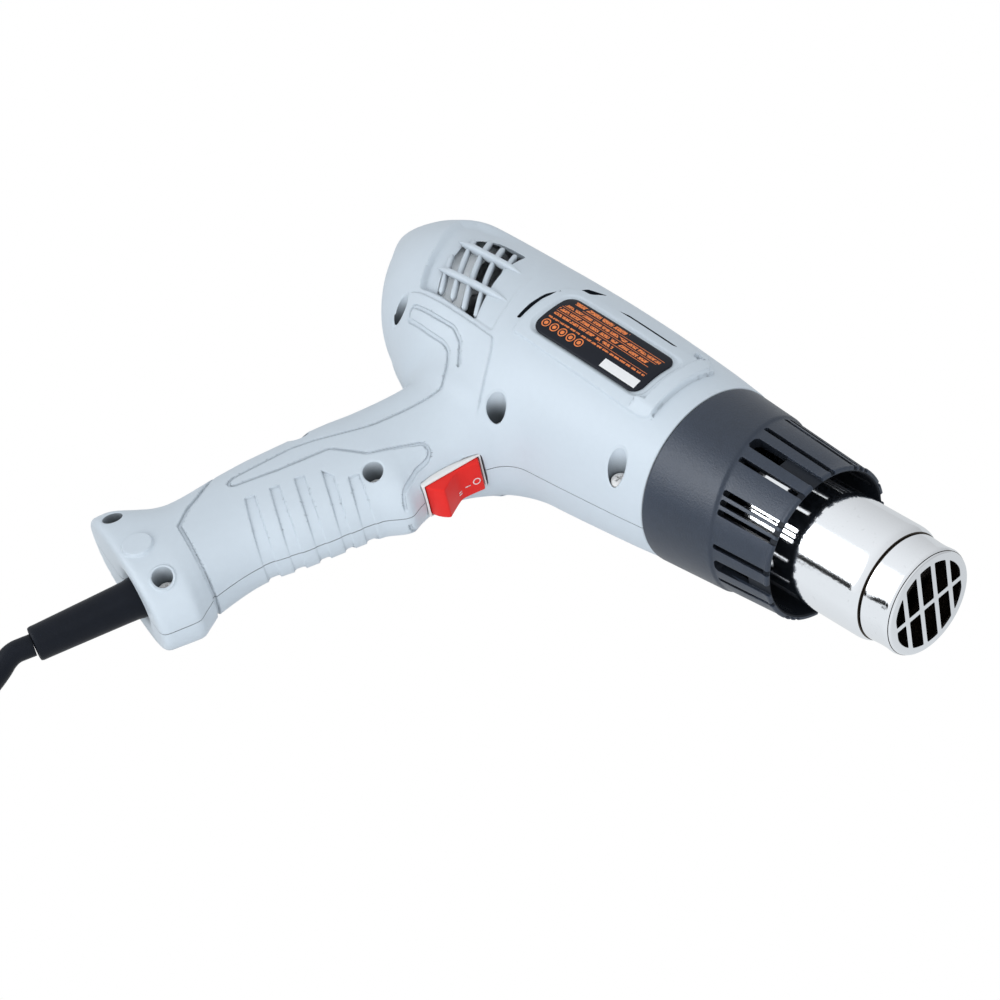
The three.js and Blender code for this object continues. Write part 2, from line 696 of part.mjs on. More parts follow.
for (let bar = 0; bar < GRILLE_ROWS - 1; bar++) {
  const y = (bar - (GRILLE_ROWS - 2) / 2) * GRILLE_PITCH;
  bars.push(block(faceRear, REACH, y - GRILLE_BAR / 2, y + GRILLE_BAR / 2, -REACH, REACH));
}
const windows = cut(disc(faceRear, CAP_END + 1, GRILLE_R, RIB_SIDES), ...bars);
piece("nozzle_cap", cut(capBody, windows), chrome);

// Mica sleeve, ceramic discs, core and heating coil
const sleeveR = nozzleBore - FIT;
const sleeveInner = sleeveR - SLEEVE_T;
const heaterR = sleeveInner - FIT;
piece("mica_sleeve", ring(nozzleFlangeRear, SLEEVE_END, sleeveInner, sleeveR, 28), mica);

const airHoleOut = (heaterR + CORE_R / 2) / 2;

// Height and side of a place on the circle of the air holes, counted in holes from the top
function betweenHoles(count) {
  const turn = (count * 2 * Math.PI) / CORE_POINTS;
  return [airHoleOut * Math.cos(turn), airHoleOut * Math.sin(turn)];
}

// A disc with a ring of air holes
function ceramicDisc(x0, x1) {
  const holes = [];
  for (let i = 0; i < CORE_POINTS; i++) {
    const rod = new THREE.CylinderGeometry(CERAMIC_HOLE_R, CERAMIC_HOLE_R, REACH, 8);
    holes.push(toSolid(rod.rotateZ(Math.PI / 2).translate(0, ...betweenHoles(i))));
  }
  return cut(disc(x0, x1, heaterR, 28), ...holes);
}
const baseEnd = HEATER_BASE_AT + HEATER_BASE_T;
piece("heater_base", ceramicDisc(HEATER_BASE_AT, baseEnd), ceramic);
piece("heater_end_disc", ceramicDisc(CORE_END + FIT, CORE_END + FIT + HEATER_BASE_T), ceramic);

// Core: a star-shaped ceramic rod between the discs
const starPoints = [];
for (let i = 0; i < CORE_POINTS * 2; i++) {
  const turn = (i * Math.PI) / CORE_POINTS;
  const r = i % 2 === 0 ? CORE_R : CORE_R * 0.62;
  starPoints.push([r * Math.cos(turn), r * Math.sin(turn)]);
}
const coreShape = new THREE.Shape(starPoints.map(([x, y]) => new THREE.Vector2(x, y)));
const coreBody = new THREE.ExtrudeGeometry(coreShape, {
  depth: CORE_END - baseEnd - FIT,
  bevelEnabled: false,
});
coreBody.rotateY(Math.PI / 2).translate(baseEnd + FIT, 0, 0);
piece("heater_core", toSolid(coreBody), ceramic);

// A tube along a curve, with the given number of steps and sides
class Wound extends THREE.Curve {
  constructor(place) {
    super();
    this.place = place;
    this.arcLengthDivisions = 3000;
  }

  getPoint(share, target = new THREE.Vector3()) {
    return target.copy(this.place(share));
  }
}

function tube(curve, r, sides, steps) {
  const section = new THREE.Shape();
  for (let i = 0; i < sides; i++) {
    const turn = (i * 2 * Math.PI) / sides;
    const [x, y] = [r * Math.cos(turn), r * Math.sin(turn)];
    if (i === 0) section.moveTo(x, y);
    else section.lineTo(x, y);
  }
  section.closePath();
  return toSolid(new THREE.ExtrudeGeometry(section, {
    steps,
    extrudePath: curve,
    bevelEnabled: false,
  }));
}

// Least distance between stretches of a tube that lie more than half a turn apart
function selfGap(curve, r, turns) {
  const points = curve.getSpacedPoints(turns * 60);
  let least = Infinity;
  for (let i = 0; i < points.length; i++) {
    for (let j = i + 30; j < points.length; j++) {
      least = Math.min(least, points[i].distanceTo(points[j]));
    }
  }
  return least - 2 * r;
}

const wireOrbit = CORE_R + FIT + COIL_WIRE_R + SLACK;
const heatingCoil = new Wound((share) => {
  const turn = share * COIL_TURNS * 2 * Math.PI;
  return new THREE.Vector3(
    COIL_START + share * (COIL_END - COIL_START),
    wireOrbit * Math.cos(turn),
    wireOrbit * Math.sin(turn),
  );
});
piece("heating_coil", tube(heatingCoil, COIL_WIRE_R, 4, COIL_TURNS * 10), heaterAlloy);
console.log("heating coil, least gap to itself", selfGap(heatingCoil, COIL_WIRE_R, COIL_TURNS));

// Duct from the fan to the heater, with a hole for the heater's wires
const ductNeckInner = ductNeckR - DUCT_WALL;
const ductBody = turned([
  [DUCT_REAR, ductRimR - DUCT_WALL],
  [DUCT_CONE, ductRimR - DUCT_WALL],
  [DUCT_NECK, ductNeckInner],
  [seatFront, ductNeckInner],
  [seatFront, ductNeckR],
  [DUCT_NECK, ductNeckR],
  [DUCT_CONE, ductRimR],
  [DUCT_REAR, ductRimR],
  [DUCT_REAR, ductRimR - DUCT_WALL],
], RIB_SIDES);
const wireSlot = block(
  WIRE_HOLE[0] - WIRE_SLOT_LENGTH / 2,
  WIRE_HOLE[0] + WIRE_SLOT_LENGTH / 2,
  -REACH,
  0,
  WIRE_HOLE[1] - WIRE_SLOT_WIDTH / 2,
  WIRE_HOLE[1] + WIRE_SLOT_WIDTH / 2,
);
piece("air_duct", cut(ductBody, wireSlot), darkPlastic);

// Motor, its end cap and rectifier board
const shaftBore = disc(MOTOR_FRONT - SHAFT_IN - FIT, MOTOR_FRONT + REACH, SHAFT_R + FIT, 12);
const motorCan = cut(
  join(
    disc(MOTOR_REAR, MOTOR_FRONT, MOTOR_R, RIB_SIDES),
    disc(MOTOR_FRONT - 1, MOTOR_FRONT + MOTOR_NOSE, MOTOR_NOSE_R, 16),
  ),
  shaftBore,
);
piece("motor_can", motorCan, steel);
const motorCapRear = MOTOR_REAR - FIT - MOTOR_CAP_T;
piece("motor_end_cap", disc(motorCapRear, MOTOR_REAR - FIT, MOTOR_R - 1, 24), switchPlastic);
const motorCapMiddle = motorCapRear + MOTOR_CAP_T / 2;
const brushAt = (MOTOR_R - 1 + FIT) * Math.SQRT1_2; // where the motor's wire meets its cap
const boardFront = motorCapRear - FIT;
const halfBoard = BOARD_SIDE / 2;
const board = [
  block(boardFront - BOARD_T, boardFront, -halfBoard, halfBoard, -halfBoard, halfBoard),
];
for (let i = 0; i < 4; i++) {
  const y = (i - 1.5) * (BOARD_SIDE / 4);
  board.push(peg(boardFront - BOARD_T - DIODE_R * 0.8, y, -DIODE_L / 2, DIODE_L / 2, DIODE_R, 8));
}
piece("rectifier_board", join(...board), boardGreen);
piece("motor_shaft", disc(MOTOR_FRONT - SHAFT_IN, SHAFT_END, SHAFT_R, 12), steel);

// Fan on the motor's shaft
const fanHub = ring(FAN_REAR, FAN_REAR + FAN_LENGTH, SHAFT_R + FIT, FAN_HUB_R, 18);
const fanBlades = [];
for (let i = 0; i < FAN_BLADES; i++) {
  const span = fanTipR - FAN_HUB_R + 1;
  const blade = new THREE.BoxGeometry(FAN_CHORD, span, FAN_BLADE_T);
  blade.rotateY(degrees(90 - FAN_PITCH));
  blade.translate(FAN_REAR + FAN_LENGTH / 2, fanTipR - span / 2, 0);
  blade.rotateX((i * 2 * Math.PI) / FAN_BLADES);
  fanBlades.push(toSolid(blade));
}
piece("fan_impeller", join(fanHub, ...fanBlades), darkPlastic);

// Motor mount: shroud with a slanted front edge, hub and three spokes
const hubR = MOTOR_R + FIT;
const mountShroud = ring(MOUNT_REAR, DUCT_REAR - 1, mountR - MOUNT_WALL, mountR, RIB_SIDES);
const hubEnd = MOUNT_REAR + MOUNT_HUB_LENGTH;
const mountHub = ring(MOUNT_REAR, hubEnd, hubR, hubR + MOUNT_WALL, RIB_SIDES);
const spokes = [0, 90, 270].map((turn) => {
  const span = mountR - hubR - MOUNT_WALL;
  const spoke = new THREE.BoxGeometry(MOUNT_SPOKE_LENGTH, span, MOUNT_WALL);
  spoke.translate(MOUNT_REAR + MOUNT_SPOKE_LENGTH / 2, hubR + MOUNT_WALL / 2 + span / 2, 0);
  return toSolid(spoke.rotateX(degrees(turn)));
});
const mountFront = slab([
  [MOUNT_FRONT - MOUNT_LEAN * REACH, REACH],
  [REACH, REACH],
  [REACH, -REACH],
  [MOUNT_FRONT + MOUNT_LEAN * REACH, -REACH],
], -REACH, REACH);
const bossRoom = ([x, y]) => peg(x, y, -REACH, REACH, WELL_R + BOSS_WALL + FIT);
piece("motor_mount", cut(
  join(mountShroud, mountHub, ...spokes).intersect(barrel(WALL + FIT)),
  mountFront,
  bossRoom(SCREWS.rear),
  block(MOTOR_WIRE_NOTCH - 4, DUCT_REAR, -REACH, -hubR, -14, -6),
), greyPlastic);

// Rocker switch: body with bezel, rocker on its pin, contact lever and three terminals
const switchGroup = new THREE.Group();
switchGroup.position.set(SWITCH_PLACE[0], SWITCH_PLACE[1], 0);
switchGroup.rotation.z = degrees(SWITCH_TILT);
tool.add(switchGroup);
const openLength = 2 * (ROCKER_R + FIT);
const openWidth = ROCKER_WIDTH + 2 * FIT;
const floorTop = -BODY_DEPTH + BODY_FLOOR;
const terminalAt = [-1, 0, 1].map((place) => place * TERMINAL.pitch);
const leverDepth = BODY_DEPTH - BODY_FLOOR - TERMINAL.tip - LEVER_CLEAR;
const rockerFoot = leverDepth - LEVER_T + ROCKER_PIN_X - PLUNGER_GAP;
const terminalTop = [TERMINAL.tip + floorTop, -leverDepth - FIT, TERMINAL.tip + floorTop];

function terminalBlock(y, top, room) {
  const [halfT, halfW] = [TERMINAL.t / 2 + room, TERMINAL.width / 2 + room];
  return block(-BODY_DEPTH - TERMINAL.out, top, y - halfT, y + halfT, -halfW, halfW);
}
const switchBody = cut(
  join(
    acrossFace(-BEZEL_T, 0, BEZEL_LENGTH, BEZEL_WIDTH),
    acrossFace(-BODY_DEPTH, -BEZEL_T / 2, BODY_LENGTH, BODY_WIDTH),
  ),
  acrossFace(floorTop, REACH, openLength, openWidth),
  peg(ROCKER_PIN_X, 0, -REACH, REACH, ROCKER_PIN_R + FIT, 12),
  ...terminalAt.map((y) => terminalBlock(y, REACH, FIT).intersect(
    acrossFace(-BODY_DEPTH - 1, floorTop + 1, BODY_LENGTH, BODY_WIDTH),
  )),
);
piece("switch_body", switchBody, switchPlastic, switchGroup);
terminalAt.forEach((y, i) => {
  piece(`switch_terminal_${i + 1}`, terminalBlock(y, terminalTop[i], 0), brass, switchGroup);
});

// Rocker outline about its pin, at mid throw: two rounded ends, a dipped face and the plunger
const rockerSide = (end) => {
  const high = ROCKER_RISE - ROCKER_PIN_X;
  const low = -ROCKER_PIN_R * 1.5;
  const [from, to] = [Math.acos(high / ROCKER_R), Math.acos(low / ROCKER_R)];
  const points = [];
  for (let i = 0; i <= 6; i++) {
    const turn = from + ((to - from) * i) / 6;
    points.push([ROCKER_R * Math.cos(turn), end * ROCKER_R * Math.sin(turn)]);
  }
  return [...points, [low, end * ROCKER_PIN_R * 1.4], [-rockerFoot, end * ROCKER_PIN_R * 1.2]];
};
const rockerOutline = [
  [ROCKER_DIP - ROCKER_PIN_X, 0],
  ...rockerSide(1),
  ...rockerSide(-1).reverse(),
];
const rocker = piece("switch_rocker", join(
  slab(rockerOutline, -ROCKER_WIDTH / 2, ROCKER_WIDTH / 2),
  peg(0, 0, -BODY_WIDTH / 2 + FIT, BODY_WIDTH / 2 - FIT, ROCKER_PIN_R, 12),
), redPlastic, switchGroup);
rocker.position.x = ROCKER_PIN_X;
rocker.rotation.z = degrees(ROCKER_THROW);
const lever = piece("contact_lever", block(
  0,
  LEVER_T,
  -LEVER_LENGTH / 2,
  LEVER_LENGTH / 2,
  -LEVER_WIDTH / 2,
  LEVER_WIDTH / 2,
), brass, switchGroup);
lever.position.x = -leverDepth;
lever.rotation.z = degrees(LEVER_TILT);

// Strain relief held in the butt's end, cord stub behind it, clamp and its screws
const reliefStart = buttEnd - WALL - FIT;
const relief = join(
  downHandle(reliefStart - RELIEF_FLANGE_T, reliefStart, RELIEF_FLANGE_R),
  downHandle(reliefStart - 1, buttEnd + RELIEF_OUT, RELIEF_ROOT_R, RELIEF_END_R),
);
piece("strain_relief", relief, rubber);
const stubEnd = reliefStart - RELIEF_FLANGE_T - FIT;
piece("cord_stub", downHandle(stubEnd - STUB_LENGTH, stubEnd, CORD_R, CORD_R, CORD_SIDES), rubber);
const clampBar = cut(
  handleBlock(
    CLAMP.at - CLAMP.width / 2,
    CLAMP.at + CLAMP.width / 2,
    RELIEF_AHEAD - CLAMP.length / 2,
    RELIEF_AHEAD + CLAMP.length / 2,
    CORD_R + FIT,
    CORD_R + FIT + CLAMP.t,
  ),
  ...clampPlaces.map(([x, y]) => peg(x, y, 0, REACH, SCREW_SHANK_R + FIT, SHANK_SIDES)),
);
piece("cord_clamp", clampBar, switchPlastic);
clampPlaces.forEach((place, i) => {
  const seat = CORD_R + FIT + CLAMP.t;
  screw(`clamp_screw_${i + 1}`, place, seat, CORD_R - SCREW_GRIP + FIT);
});

// Inner wires: soft tubes along routes in the tool's axes
function wire(name, points) {
  const curve = new THREE.CatmullRomCurve3(points.map(([x, y, z]) => new THREE.Vector3(x, y, z)));
  piece(name, tube(curve, WIRE_R, WIRE_SIDES, points.length * 2), rubber);
}
const stubFace = (z, back = 0) => [...onHandle(stubEnd - STUB_LENGTH - FIT - back, RELIEF_AHEAD), z];
const throughSwitch = (x, y, z) => {
  const point = new THREE.Vector3(x, y, z).applyMatrix4(switchPlace);
  return point.toArray();
};
const bladeEnd = -BODY_DEPTH - TERMINAL.out - FIT;
wire("live_wire", [
  stubFace(WIRE_SPREAD),
  stubFace(WIRE_SPREAD, 5),
  [...onHandle(104, 4), 2],
  [...onHandle(84, -2), 1],
  throughSwitch(bladeEnd - 5, terminalAt[0], 0),
  throughSwitch(bladeEnd, terminalAt[0], 0),
]);
wire("motor_wire", [
  throughSwitch(bladeEnd, terminalAt[1], 0),
  throughSwitch(bladeEnd - 5, terminalAt[1], 0),
  [-102, -42, 0],
  [-101, -33, -7],
  [MOTOR_WIRE_NOTCH, -26, -10],
  [-115, -18, -13.5],
  [-128, -14.4, -14.4],
  [-137, -13.6, -13.6],
  [motorCapMiddle + 1, -12.6, -12.6],
  [motorCapMiddle, -brushAt, -brushAt],
]);
const heaterWireZ = WIRE_HOLE[1] + WIRE_SPREAD;
const underDuct = (x, gap) => {
  const share = THREE.MathUtils.clamp((x - DUCT_CONE) / (DUCT_NECK - DUCT_CONE), 0, 1);
  return -(ductRimR + (ductNeckR - ductRimR) * share + gap);
};
wire("heater_wire", [
  throughSwitch(bladeEnd, terminalAt[2], -1.5),
  throughSwitch(bladeEnd - 3, terminalAt[2], -1.5),
  [-90, underDuct(-90, 9.1), -5],
  [-81, underDuct(-81, 8.1), heaterWireZ],
  [-74, underDuct(-74, 7.3), heaterWireZ],
  [-69.5, underDuct(-69.5, 3.2), heaterWireZ],
  [-62, underDuct(-62, 0.8), heaterWireZ],
  [WIRE_HOLE[0], -20, heaterWireZ],
  [WIRE_HOLE[0] + 10, -12.5, heaterWireZ],
  [HEATER_BASE_AT - 10, ...betweenHoles(3.5)],
  [HEATER_BASE_AT - FIT, ...betweenHoles(3.5)],
]);
const neutralWireZ = WIRE_HOLE[1] - WIRE_SPREAD;
wire("neutral_wire", [
  stubFace(-WIRE_SPREAD),
  stubFace(-WIRE_SPREAD, 5),
  [...onHandle(104, 0), -2.5],
  [...onHandle(84, -10), -4],
  [...onHandle(56, -15), -5],
  [-92, underDuct(-92, 10.1), -8.5],
  [-81, underDuct(-81, 8.1), neutralWireZ],
  [-74, underDuct(-74, 7.3), neutralWireZ],
  [-69.5, underDuct(-69.5, 3.2), neutralWireZ],
  [-62, underDuct(-62, 0.8), neutralWireZ],
  [WIRE_HOLE[0], -20, neutralWireZ],
  [WIRE_HOLE[0] + 10, -11, neutralWireZ],
  [HEATER_BASE_AT - 10, ...betweenHoles(4.5)],
  [HEATER_BASE_AT - FIT, ...betweenHoles(4.5)],
]);

// The tool lies on its left side: on the butt and on the two ends of the raised label frame
function restingUp(points) {
  const regions = [
    points.filter((p) => p.y < -0.6 * buttEnd),
    points.filter((p) => p.x > BAR.rear && p.x < mouth),
    points.filter((p) => p.x < FRAME.rear + BAR.front && p.y > -BARREL[0][1] * 2),
  ];
  const up = new THREE.Vector3(0, 0, 1);
  for (let round = 0; round < 12; round++) {
    const [a, b, c] = regions.map((region) => (
      region.reduce((low, p) => (p.dot(up) < low.dot(up) ? p : low))
    ));
    up.copy(b.clone().sub(a).cross(c.clone().sub(a))).normalize();
    if (up.z < 0) up.negate();
  }
  return up;
}
const leftPoints = [];
const leftPosition = tool.getObjectByName("housing_left").geometry.attributes.position;
for (let i = 0; i < leftPosition.count; i++) {
  leftPoints.push(new THREE.Vector3().fromBufferAttribute(leftPosition, i));
}
const up = restingUp(leftPoints);
const ahead = new THREE.Vector3(1, 0, 0).addScaledVector(up, -up.x).normalize();
const lying = new THREE.Matrix4().makeBasis(ahead, up.clone().cross(ahead), up).transpose();
tool.quaternion.setFromRotationMatrix(lying);
tool.updateMatrixWorld(true);
const toolBox = new THREE.Box3().setFromObject(tool, true);
const toolCentre = toolBox.getCenter(new THREE.Vector3());
tool.position.set(-toolCentre.x, -toolCentre.y, -toolBox.min.z);
tool.updateMatrixWorld(true);

// Free cord: a lead from the strain relief, a coil on the floor, and a tail to the plug
const exit = tool.localToWorld(new THREE.Vector3(...onHandle(buttEnd + RELIEF_OUT + FIT, RELIEF_AHEAD), 0));
const exitAhead = new THREE.Vector3(down.x, down.y, 0).transformDirection(tool.matrixWorld);
const straight = 2 * CORD_R;
const onFloor = (from, [x, y, z]) => new THREE.Vector3(from.x + x, from.y + y, z);
const layTogether = (points) => new THREE.CatmullRomCurve3(points, false, "centripetal");

const coilOuter = COIL_INNER_R + COIL_PITCH * COIL_LAYER_TURNS;
const coilTurns = COIL_LAYERS * COIL_LAYER_TURNS;
const coilFloor = TIE.t + FIT + CORD_R;
const heading = degrees(COIL_HEADING);
const coilStart = onFloor(exit, [...COIL_START_AT, coilFloor]);
const coilCentre = new THREE.Vector3(
  coilStart.x + coilOuter * Math.sin(heading),
  coilStart.y - coilOuter * Math.cos(heading),
  coilFloor,
);

function onCoil(turn) {
  const phase = turn / COIL_LAYER_TURNS;
  const layer = Math.min(Math.floor(phase), COIL_LAYERS - 1);
  const inward = layer % 2 === 0 ? phase - layer : 1 - (phase - layer);
  const r = coilOuter - (coilOuter - COIL_INNER_R) * inward;
  const angle = heading + Math.PI / 2 - turn * 2 * Math.PI;
  let height = 0;
  for (let climb = 1; climb < COIL_LAYERS; climb++) {
    const from = climb * COIL_LAYER_TURNS - 0.25;
    height += COIL_PITCH * THREE.MathUtils.smoothstep(turn, from, from + 0.5);
  }
  return new THREE.Vector3(r * Math.cos(angle), r * Math.sin(angle), height).add(coilCentre);
}
const coilIn = onCoil(0.001).sub(onCoil(0)).normalize();
const coilOut = onCoil(coilTurns).sub(onCoil(coilTurns - 0.001)).normalize();
const coilEnd = onCoil(coilTurns);
const endShare = straight / (2 * Math.PI * coilOuter);
const coil = new Wound((share) => {
  const turn = share * (coilTurns + 2 * endShare) - endShare;
  const over = Math.abs(turn < 0 ? turn : turn - coilTurns) * 2 * Math.PI * coilOuter;
  if (turn < 0) return coilStart.clone().addScaledVector(coilIn, -over);
  if (turn > coilTurns) return coilEnd.clone().addScaledVector(coilOut, over);
  return onCoil(turn);
});
const coilSteps = Math.round(coilTurns * COIL_STEPS);
piece("cord_coil", tube(coil, CORD_R, COIL_SIDES, coilSteps), rubber, object);
console.log("cord coil, least gap to itself", selfGap(coil, CORD_R, Math.ceil(coilTurns)));

const lead = layTogether([
  exit,
  exit.clone().addScaledVector(exitAhead, straight),
  ...LEAD_ROUTE.map((step) => onFloor(exit, step)),
  coilStart.clone().addScaledVector(coilIn, -2 * straight),
  coilStart.clone().addScaledVector(coilIn, -straight - FIT),
]);
piece("cord_lead", tube(lead, CORD_R, CORD_SIDES, 10), rubber, object);
const tailStart = coilEnd.clone().addScaledVector(coilOut, straight + FIT);
const plugTurn = degrees(PLUG_HEADING);
const plugAhead = new THREE.Vector3(Math.cos(plugTurn), Math.sin(plugTurn), 0);
const plugAt = onFloor(coilEnd, [...PLUG_AT, PLUG.t / 2]);
const tail = layTogether([
  tailStart,
  tailStart.clone().addScaledVector(coilOut, straight),
  ...TAIL_ROUTE.map((step) => onFloor(coilEnd, step)),
  plugAt.clone().addScaledVector(plugAhead, -2 * straight),
  plugAt.clone().addScaledVector(plugAhead, -straight),
  plugAt.clone().addScaledVector(plugAhead, -FIT),
]);
piece("cord_tail", tube(tail, CORD_R, CORD_SIDES, 14), rubber, object);
const total = coil.getLength() + lead.getLength() + tail.getLength();
console.log("cord outside the tool", total);

// Tie round all the turns
const tieInner = [COIL_INNER_R - CORD_R - SLACK, coilOuter + CORD_R + SLACK];
const tieTop = coilFloor + (COIL_LAYERS - 1) * COIL_PITCH + CORD_R + SLACK;
const tie = cut(
  block(tieInner[0] - TIE.t, tieInner[1] + TIE.t, -TIE.width / 2, TIE.width / 2, 0, tieTop + TIE.t),
  block(tieInner[0], tieInner[1], -TIE.width, TIE.width, TIE.t, tieTop),
);
const tiePiece = piece("coil_tie", tie, darkPlastic, object);
tiePiece.position.set(coilCentre.x, coilCentre.y, 0);
tiePiece.rotation.z = degrees(TIE_AT);

// Plug in line with the tail's end, flat on the floor, with two flat blades
const plug = new THREE.Group();
plug.position.copy(plugAt);
plug.rotation.z = plugTurn;
object.add(plug);
const halfPlug = PLUG.width / 2;
const halfNeck = PLUG.neckWidth / 2;
const shoulder = PLUG.neck + (halfPlug - halfNeck);
const bladeRoot = PLUG.length - PLUG.blade / 3;

function blade(side, room) {
  const middle = (side * PLUG_PITCH) / 2;
  const [halfT, halfW] = [PLUG.bladeT / 2 + room, PLUG.bladeWidth / 2 + room];
  return block(
    bladeRoot - room,
    PLUG.length + PLUG.blade,
    middle - halfT,
    middle + halfT,
    -halfW,
    halfW,
  );
}
const plugBody = cut(
  join(
    slab([
      [0, -halfNeck],
      [PLUG.neck + 1, -halfNeck],
      [PLUG.neck + 1, halfNeck],
      [0, halfNeck],
    ], -halfNeck, halfNeck),
    slab([
      [PLUG.neck, -halfNeck],
      [shoulder, -halfPlug],
      [PLUG.length, -halfPlug],
      [PLUG.length, halfPlug],
      [shoulder, halfPlug],
      [PLUG.neck, halfNeck],
    ], -PLUG.t / 2, PLUG.t / 2),
  ),
  blade(-1, FIT),
  blade(1, FIT),
);
piece("plug_body", plugBody, rubber, plug);
piece("plug_blade_1", blade(-1, 0), brass, plug);
piece("plug_blade_2", blade(1, 0), brass, plug);

export default object;
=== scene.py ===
"""Looks of a hot air tool that lies on its side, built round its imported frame.

Shapes are worked out in millimetres in the tool's own axes: x ahead to the nozzle,
y up from the handle, z out of the right side. They are placed in the row frame last.
"""

import logging
import math
from collections.abc import Callable
from dataclasses import dataclass, field
from enum import Enum

import bmesh
import bpy
import numpy as np
from mathutils import Matrix, Vector


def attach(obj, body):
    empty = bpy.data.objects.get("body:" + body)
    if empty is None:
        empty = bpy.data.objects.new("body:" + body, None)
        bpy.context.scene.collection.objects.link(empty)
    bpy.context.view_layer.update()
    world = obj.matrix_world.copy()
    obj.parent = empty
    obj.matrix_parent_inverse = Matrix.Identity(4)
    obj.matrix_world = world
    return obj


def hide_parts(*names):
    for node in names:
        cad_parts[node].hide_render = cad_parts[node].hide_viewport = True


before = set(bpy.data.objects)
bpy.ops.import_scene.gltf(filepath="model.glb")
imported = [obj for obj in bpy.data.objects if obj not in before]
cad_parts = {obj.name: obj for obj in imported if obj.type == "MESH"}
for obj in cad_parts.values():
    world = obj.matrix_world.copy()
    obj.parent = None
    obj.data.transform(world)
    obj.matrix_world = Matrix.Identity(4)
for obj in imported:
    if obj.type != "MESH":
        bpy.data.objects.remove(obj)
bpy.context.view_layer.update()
log = logging.getLogger("hot_air_tool")

Array = np.ndarray
Points = np.ndarray | list | tuple  # rows of two or three numbers
Field = Callable[[Array], Array]  # distances at points
Object = bpy.types.Object
Socket = bpy.types.NodeSocket
Value = float | bpy.types.NodeSocket

ORIGIN = np.array([36.8625, 76.5063, 34.0433])
AXES = np.array([
    [0.998809, 0.0, -0.0488],
    [0.007231, 0.988961, 0.148],
    [0.048262, -0.148176, 0.987783],
])
SPLIT = 0.12  # half of the seam between the casing halves
WALL = 2.6  # thickness of the casing

BARREL_TIP = (-169.2, 11.5, -11.5, 0.0)
BARREL = [
    (-168.8, 13.5, -9, 6), (-167.4, 16, -7.2, 11.3), (-165, 18.6, -4, 15.6),
    (-161, 22.6, 1, 19.8), (-156, 26.6, 6.8, 23.9), (-150, 30.4, 14.2, 28.2),
    (-142, 34.0, 20.8, 32.8), (-130, 37, 26.4, 36.7), (-104, 37.6, 35.8, 37.6),
    (-90, 37.6, 37, 37.3), (-70, 37.1, 36.4, 36.8), (-48, 36, 35, 35.6),
    (-14, 33.1, 32.1, 32.7), (0, 31.4, 30.6, 31),
]  # x, top, depth, half width
HANDLE_TOP = np.array([-73.0, 0.0])
DOWN = np.array([-0.28234, -0.95931])
AHEAD = np.array([0.95931, -0.28234])
HANDLE = [
    (12, 33, 34, 31), (34, 23.4, 24.2, 23.5), (48, 21.2, 22.4, 18.5),
    (57, 22.4, 22.9, 17), (64, 25.6, 23.7, 16.4), (68.5, 28.2, 24.2, 16.2),
    (78, 24.2, 24.8, 16), (105, 21.8, 24.1, 16), (118, 19.8, 22.4, 16),
    (137, 23.6, 19.3, 16.6), (142, 27.6, 20.6, 17), (146.5, 31, 23.4, 17.2),
    (157, 30.4, 29.2, 17.2), (166, 29.6, 29.2, 17),
]  # distance down, reach ahead, reach behind, half width
SQUARE = 2.4  # squareness of the handle's section
RELIEF_AHEAD = 7.8  # how far the cord leaves ahead of the handle's line
BUTT_END = 162.4  # end of the butt down the handle

FRAME_OUTLINE = [
    (-73.6, -13.6), (-12.7, -14.5), (-8.4, -12.9), (-8.9, 15.2), (-19, 17), (-70, 15.4), (-74, 11),
]
RECESS = (-70.3, -15.4, -10.6, 11.8, 5.2)
BAR_OUTLINE = [
    (-8.6, -13.6), (-8.4, 15.4), (-17.0, 20.6), (-21.0, 20.6), (-21.0, 18.6),
    (-15.6, 17.6), (-14.2, 6.0), (-14.2, -8.6), (-17.8, -9.6), (-17.8, -14.2),
]
VENT = [
    (-122.2, 10.3), (-120.2, 14.6), (-114.3, 17.6), (-100.3, 17.2), (-97.5, 5.1),
    (-94.6, -3.3), (-89.8, -15.7), (-106, -14.2), (-112.8, -13.3), (-116.5, -7.8),
    (-117.7, -4), (-120.8, 6.1),
]
SCOOP = [
    (-119.9, -15.1), (-121.9, -13.1), (-123.6, -9.6), (-125.8, -4.3), (-128.2, 1.3), (-131.9, 8.3),
    (-136.5, 17.0), (-134, 24.5), (-120, 28.0), (-98, 25), (-86, 10), (-80, -16.9), (-98.8, -15.9), (-110, -15.2),
]
BUTT_GROOVE = [
    (-130, -100), (-117, -119.5), (-113.8, -126.6), (-109, -133.7), (-94.2, -137.9), (-70, -144),
]
GRIP_PATH = [
    (-83.8, -29.8), (-86.9, -26.2), (-88.9, -23.6), (-94.8, -21), (-103.4, -20.8), (-117.2, -20.0),
    (-118.2, -21.2), (-117.3, -23.6), (-104.4, -25.2), (-96, -25.7), (-92, -27), (-88.6, -30.9),
    (-84.6, -38.2), (-86.2, -42), (-95.1, -61.4), (-106.9, -79.2), (-110.1, -85.9), (-114.2, -107.5),
    (-113.2, -110.4), (-110.6, -110.6), (-103.9, -94.9), (-98.1, -78.0), (-85.6, -71.6),
    (-75.4, -56.2), (-72.6, -56), (-71.2, -58.3), (-71, -63.6), (-68.9, -70), (-66.9, -74.4), (-60, -78),
]
CHEEK = [
    (-127.6, -18.4), (-122.6, -16.3), (-117.3, -16.0), (-98.8, -16.8), (-88.5, -17.2), (-77.9, -17.9),
    (-75, -21.8), (-69.9, -32.1), (-66, -41), (-84, -48), (-132, -44), (-133, -30),
]
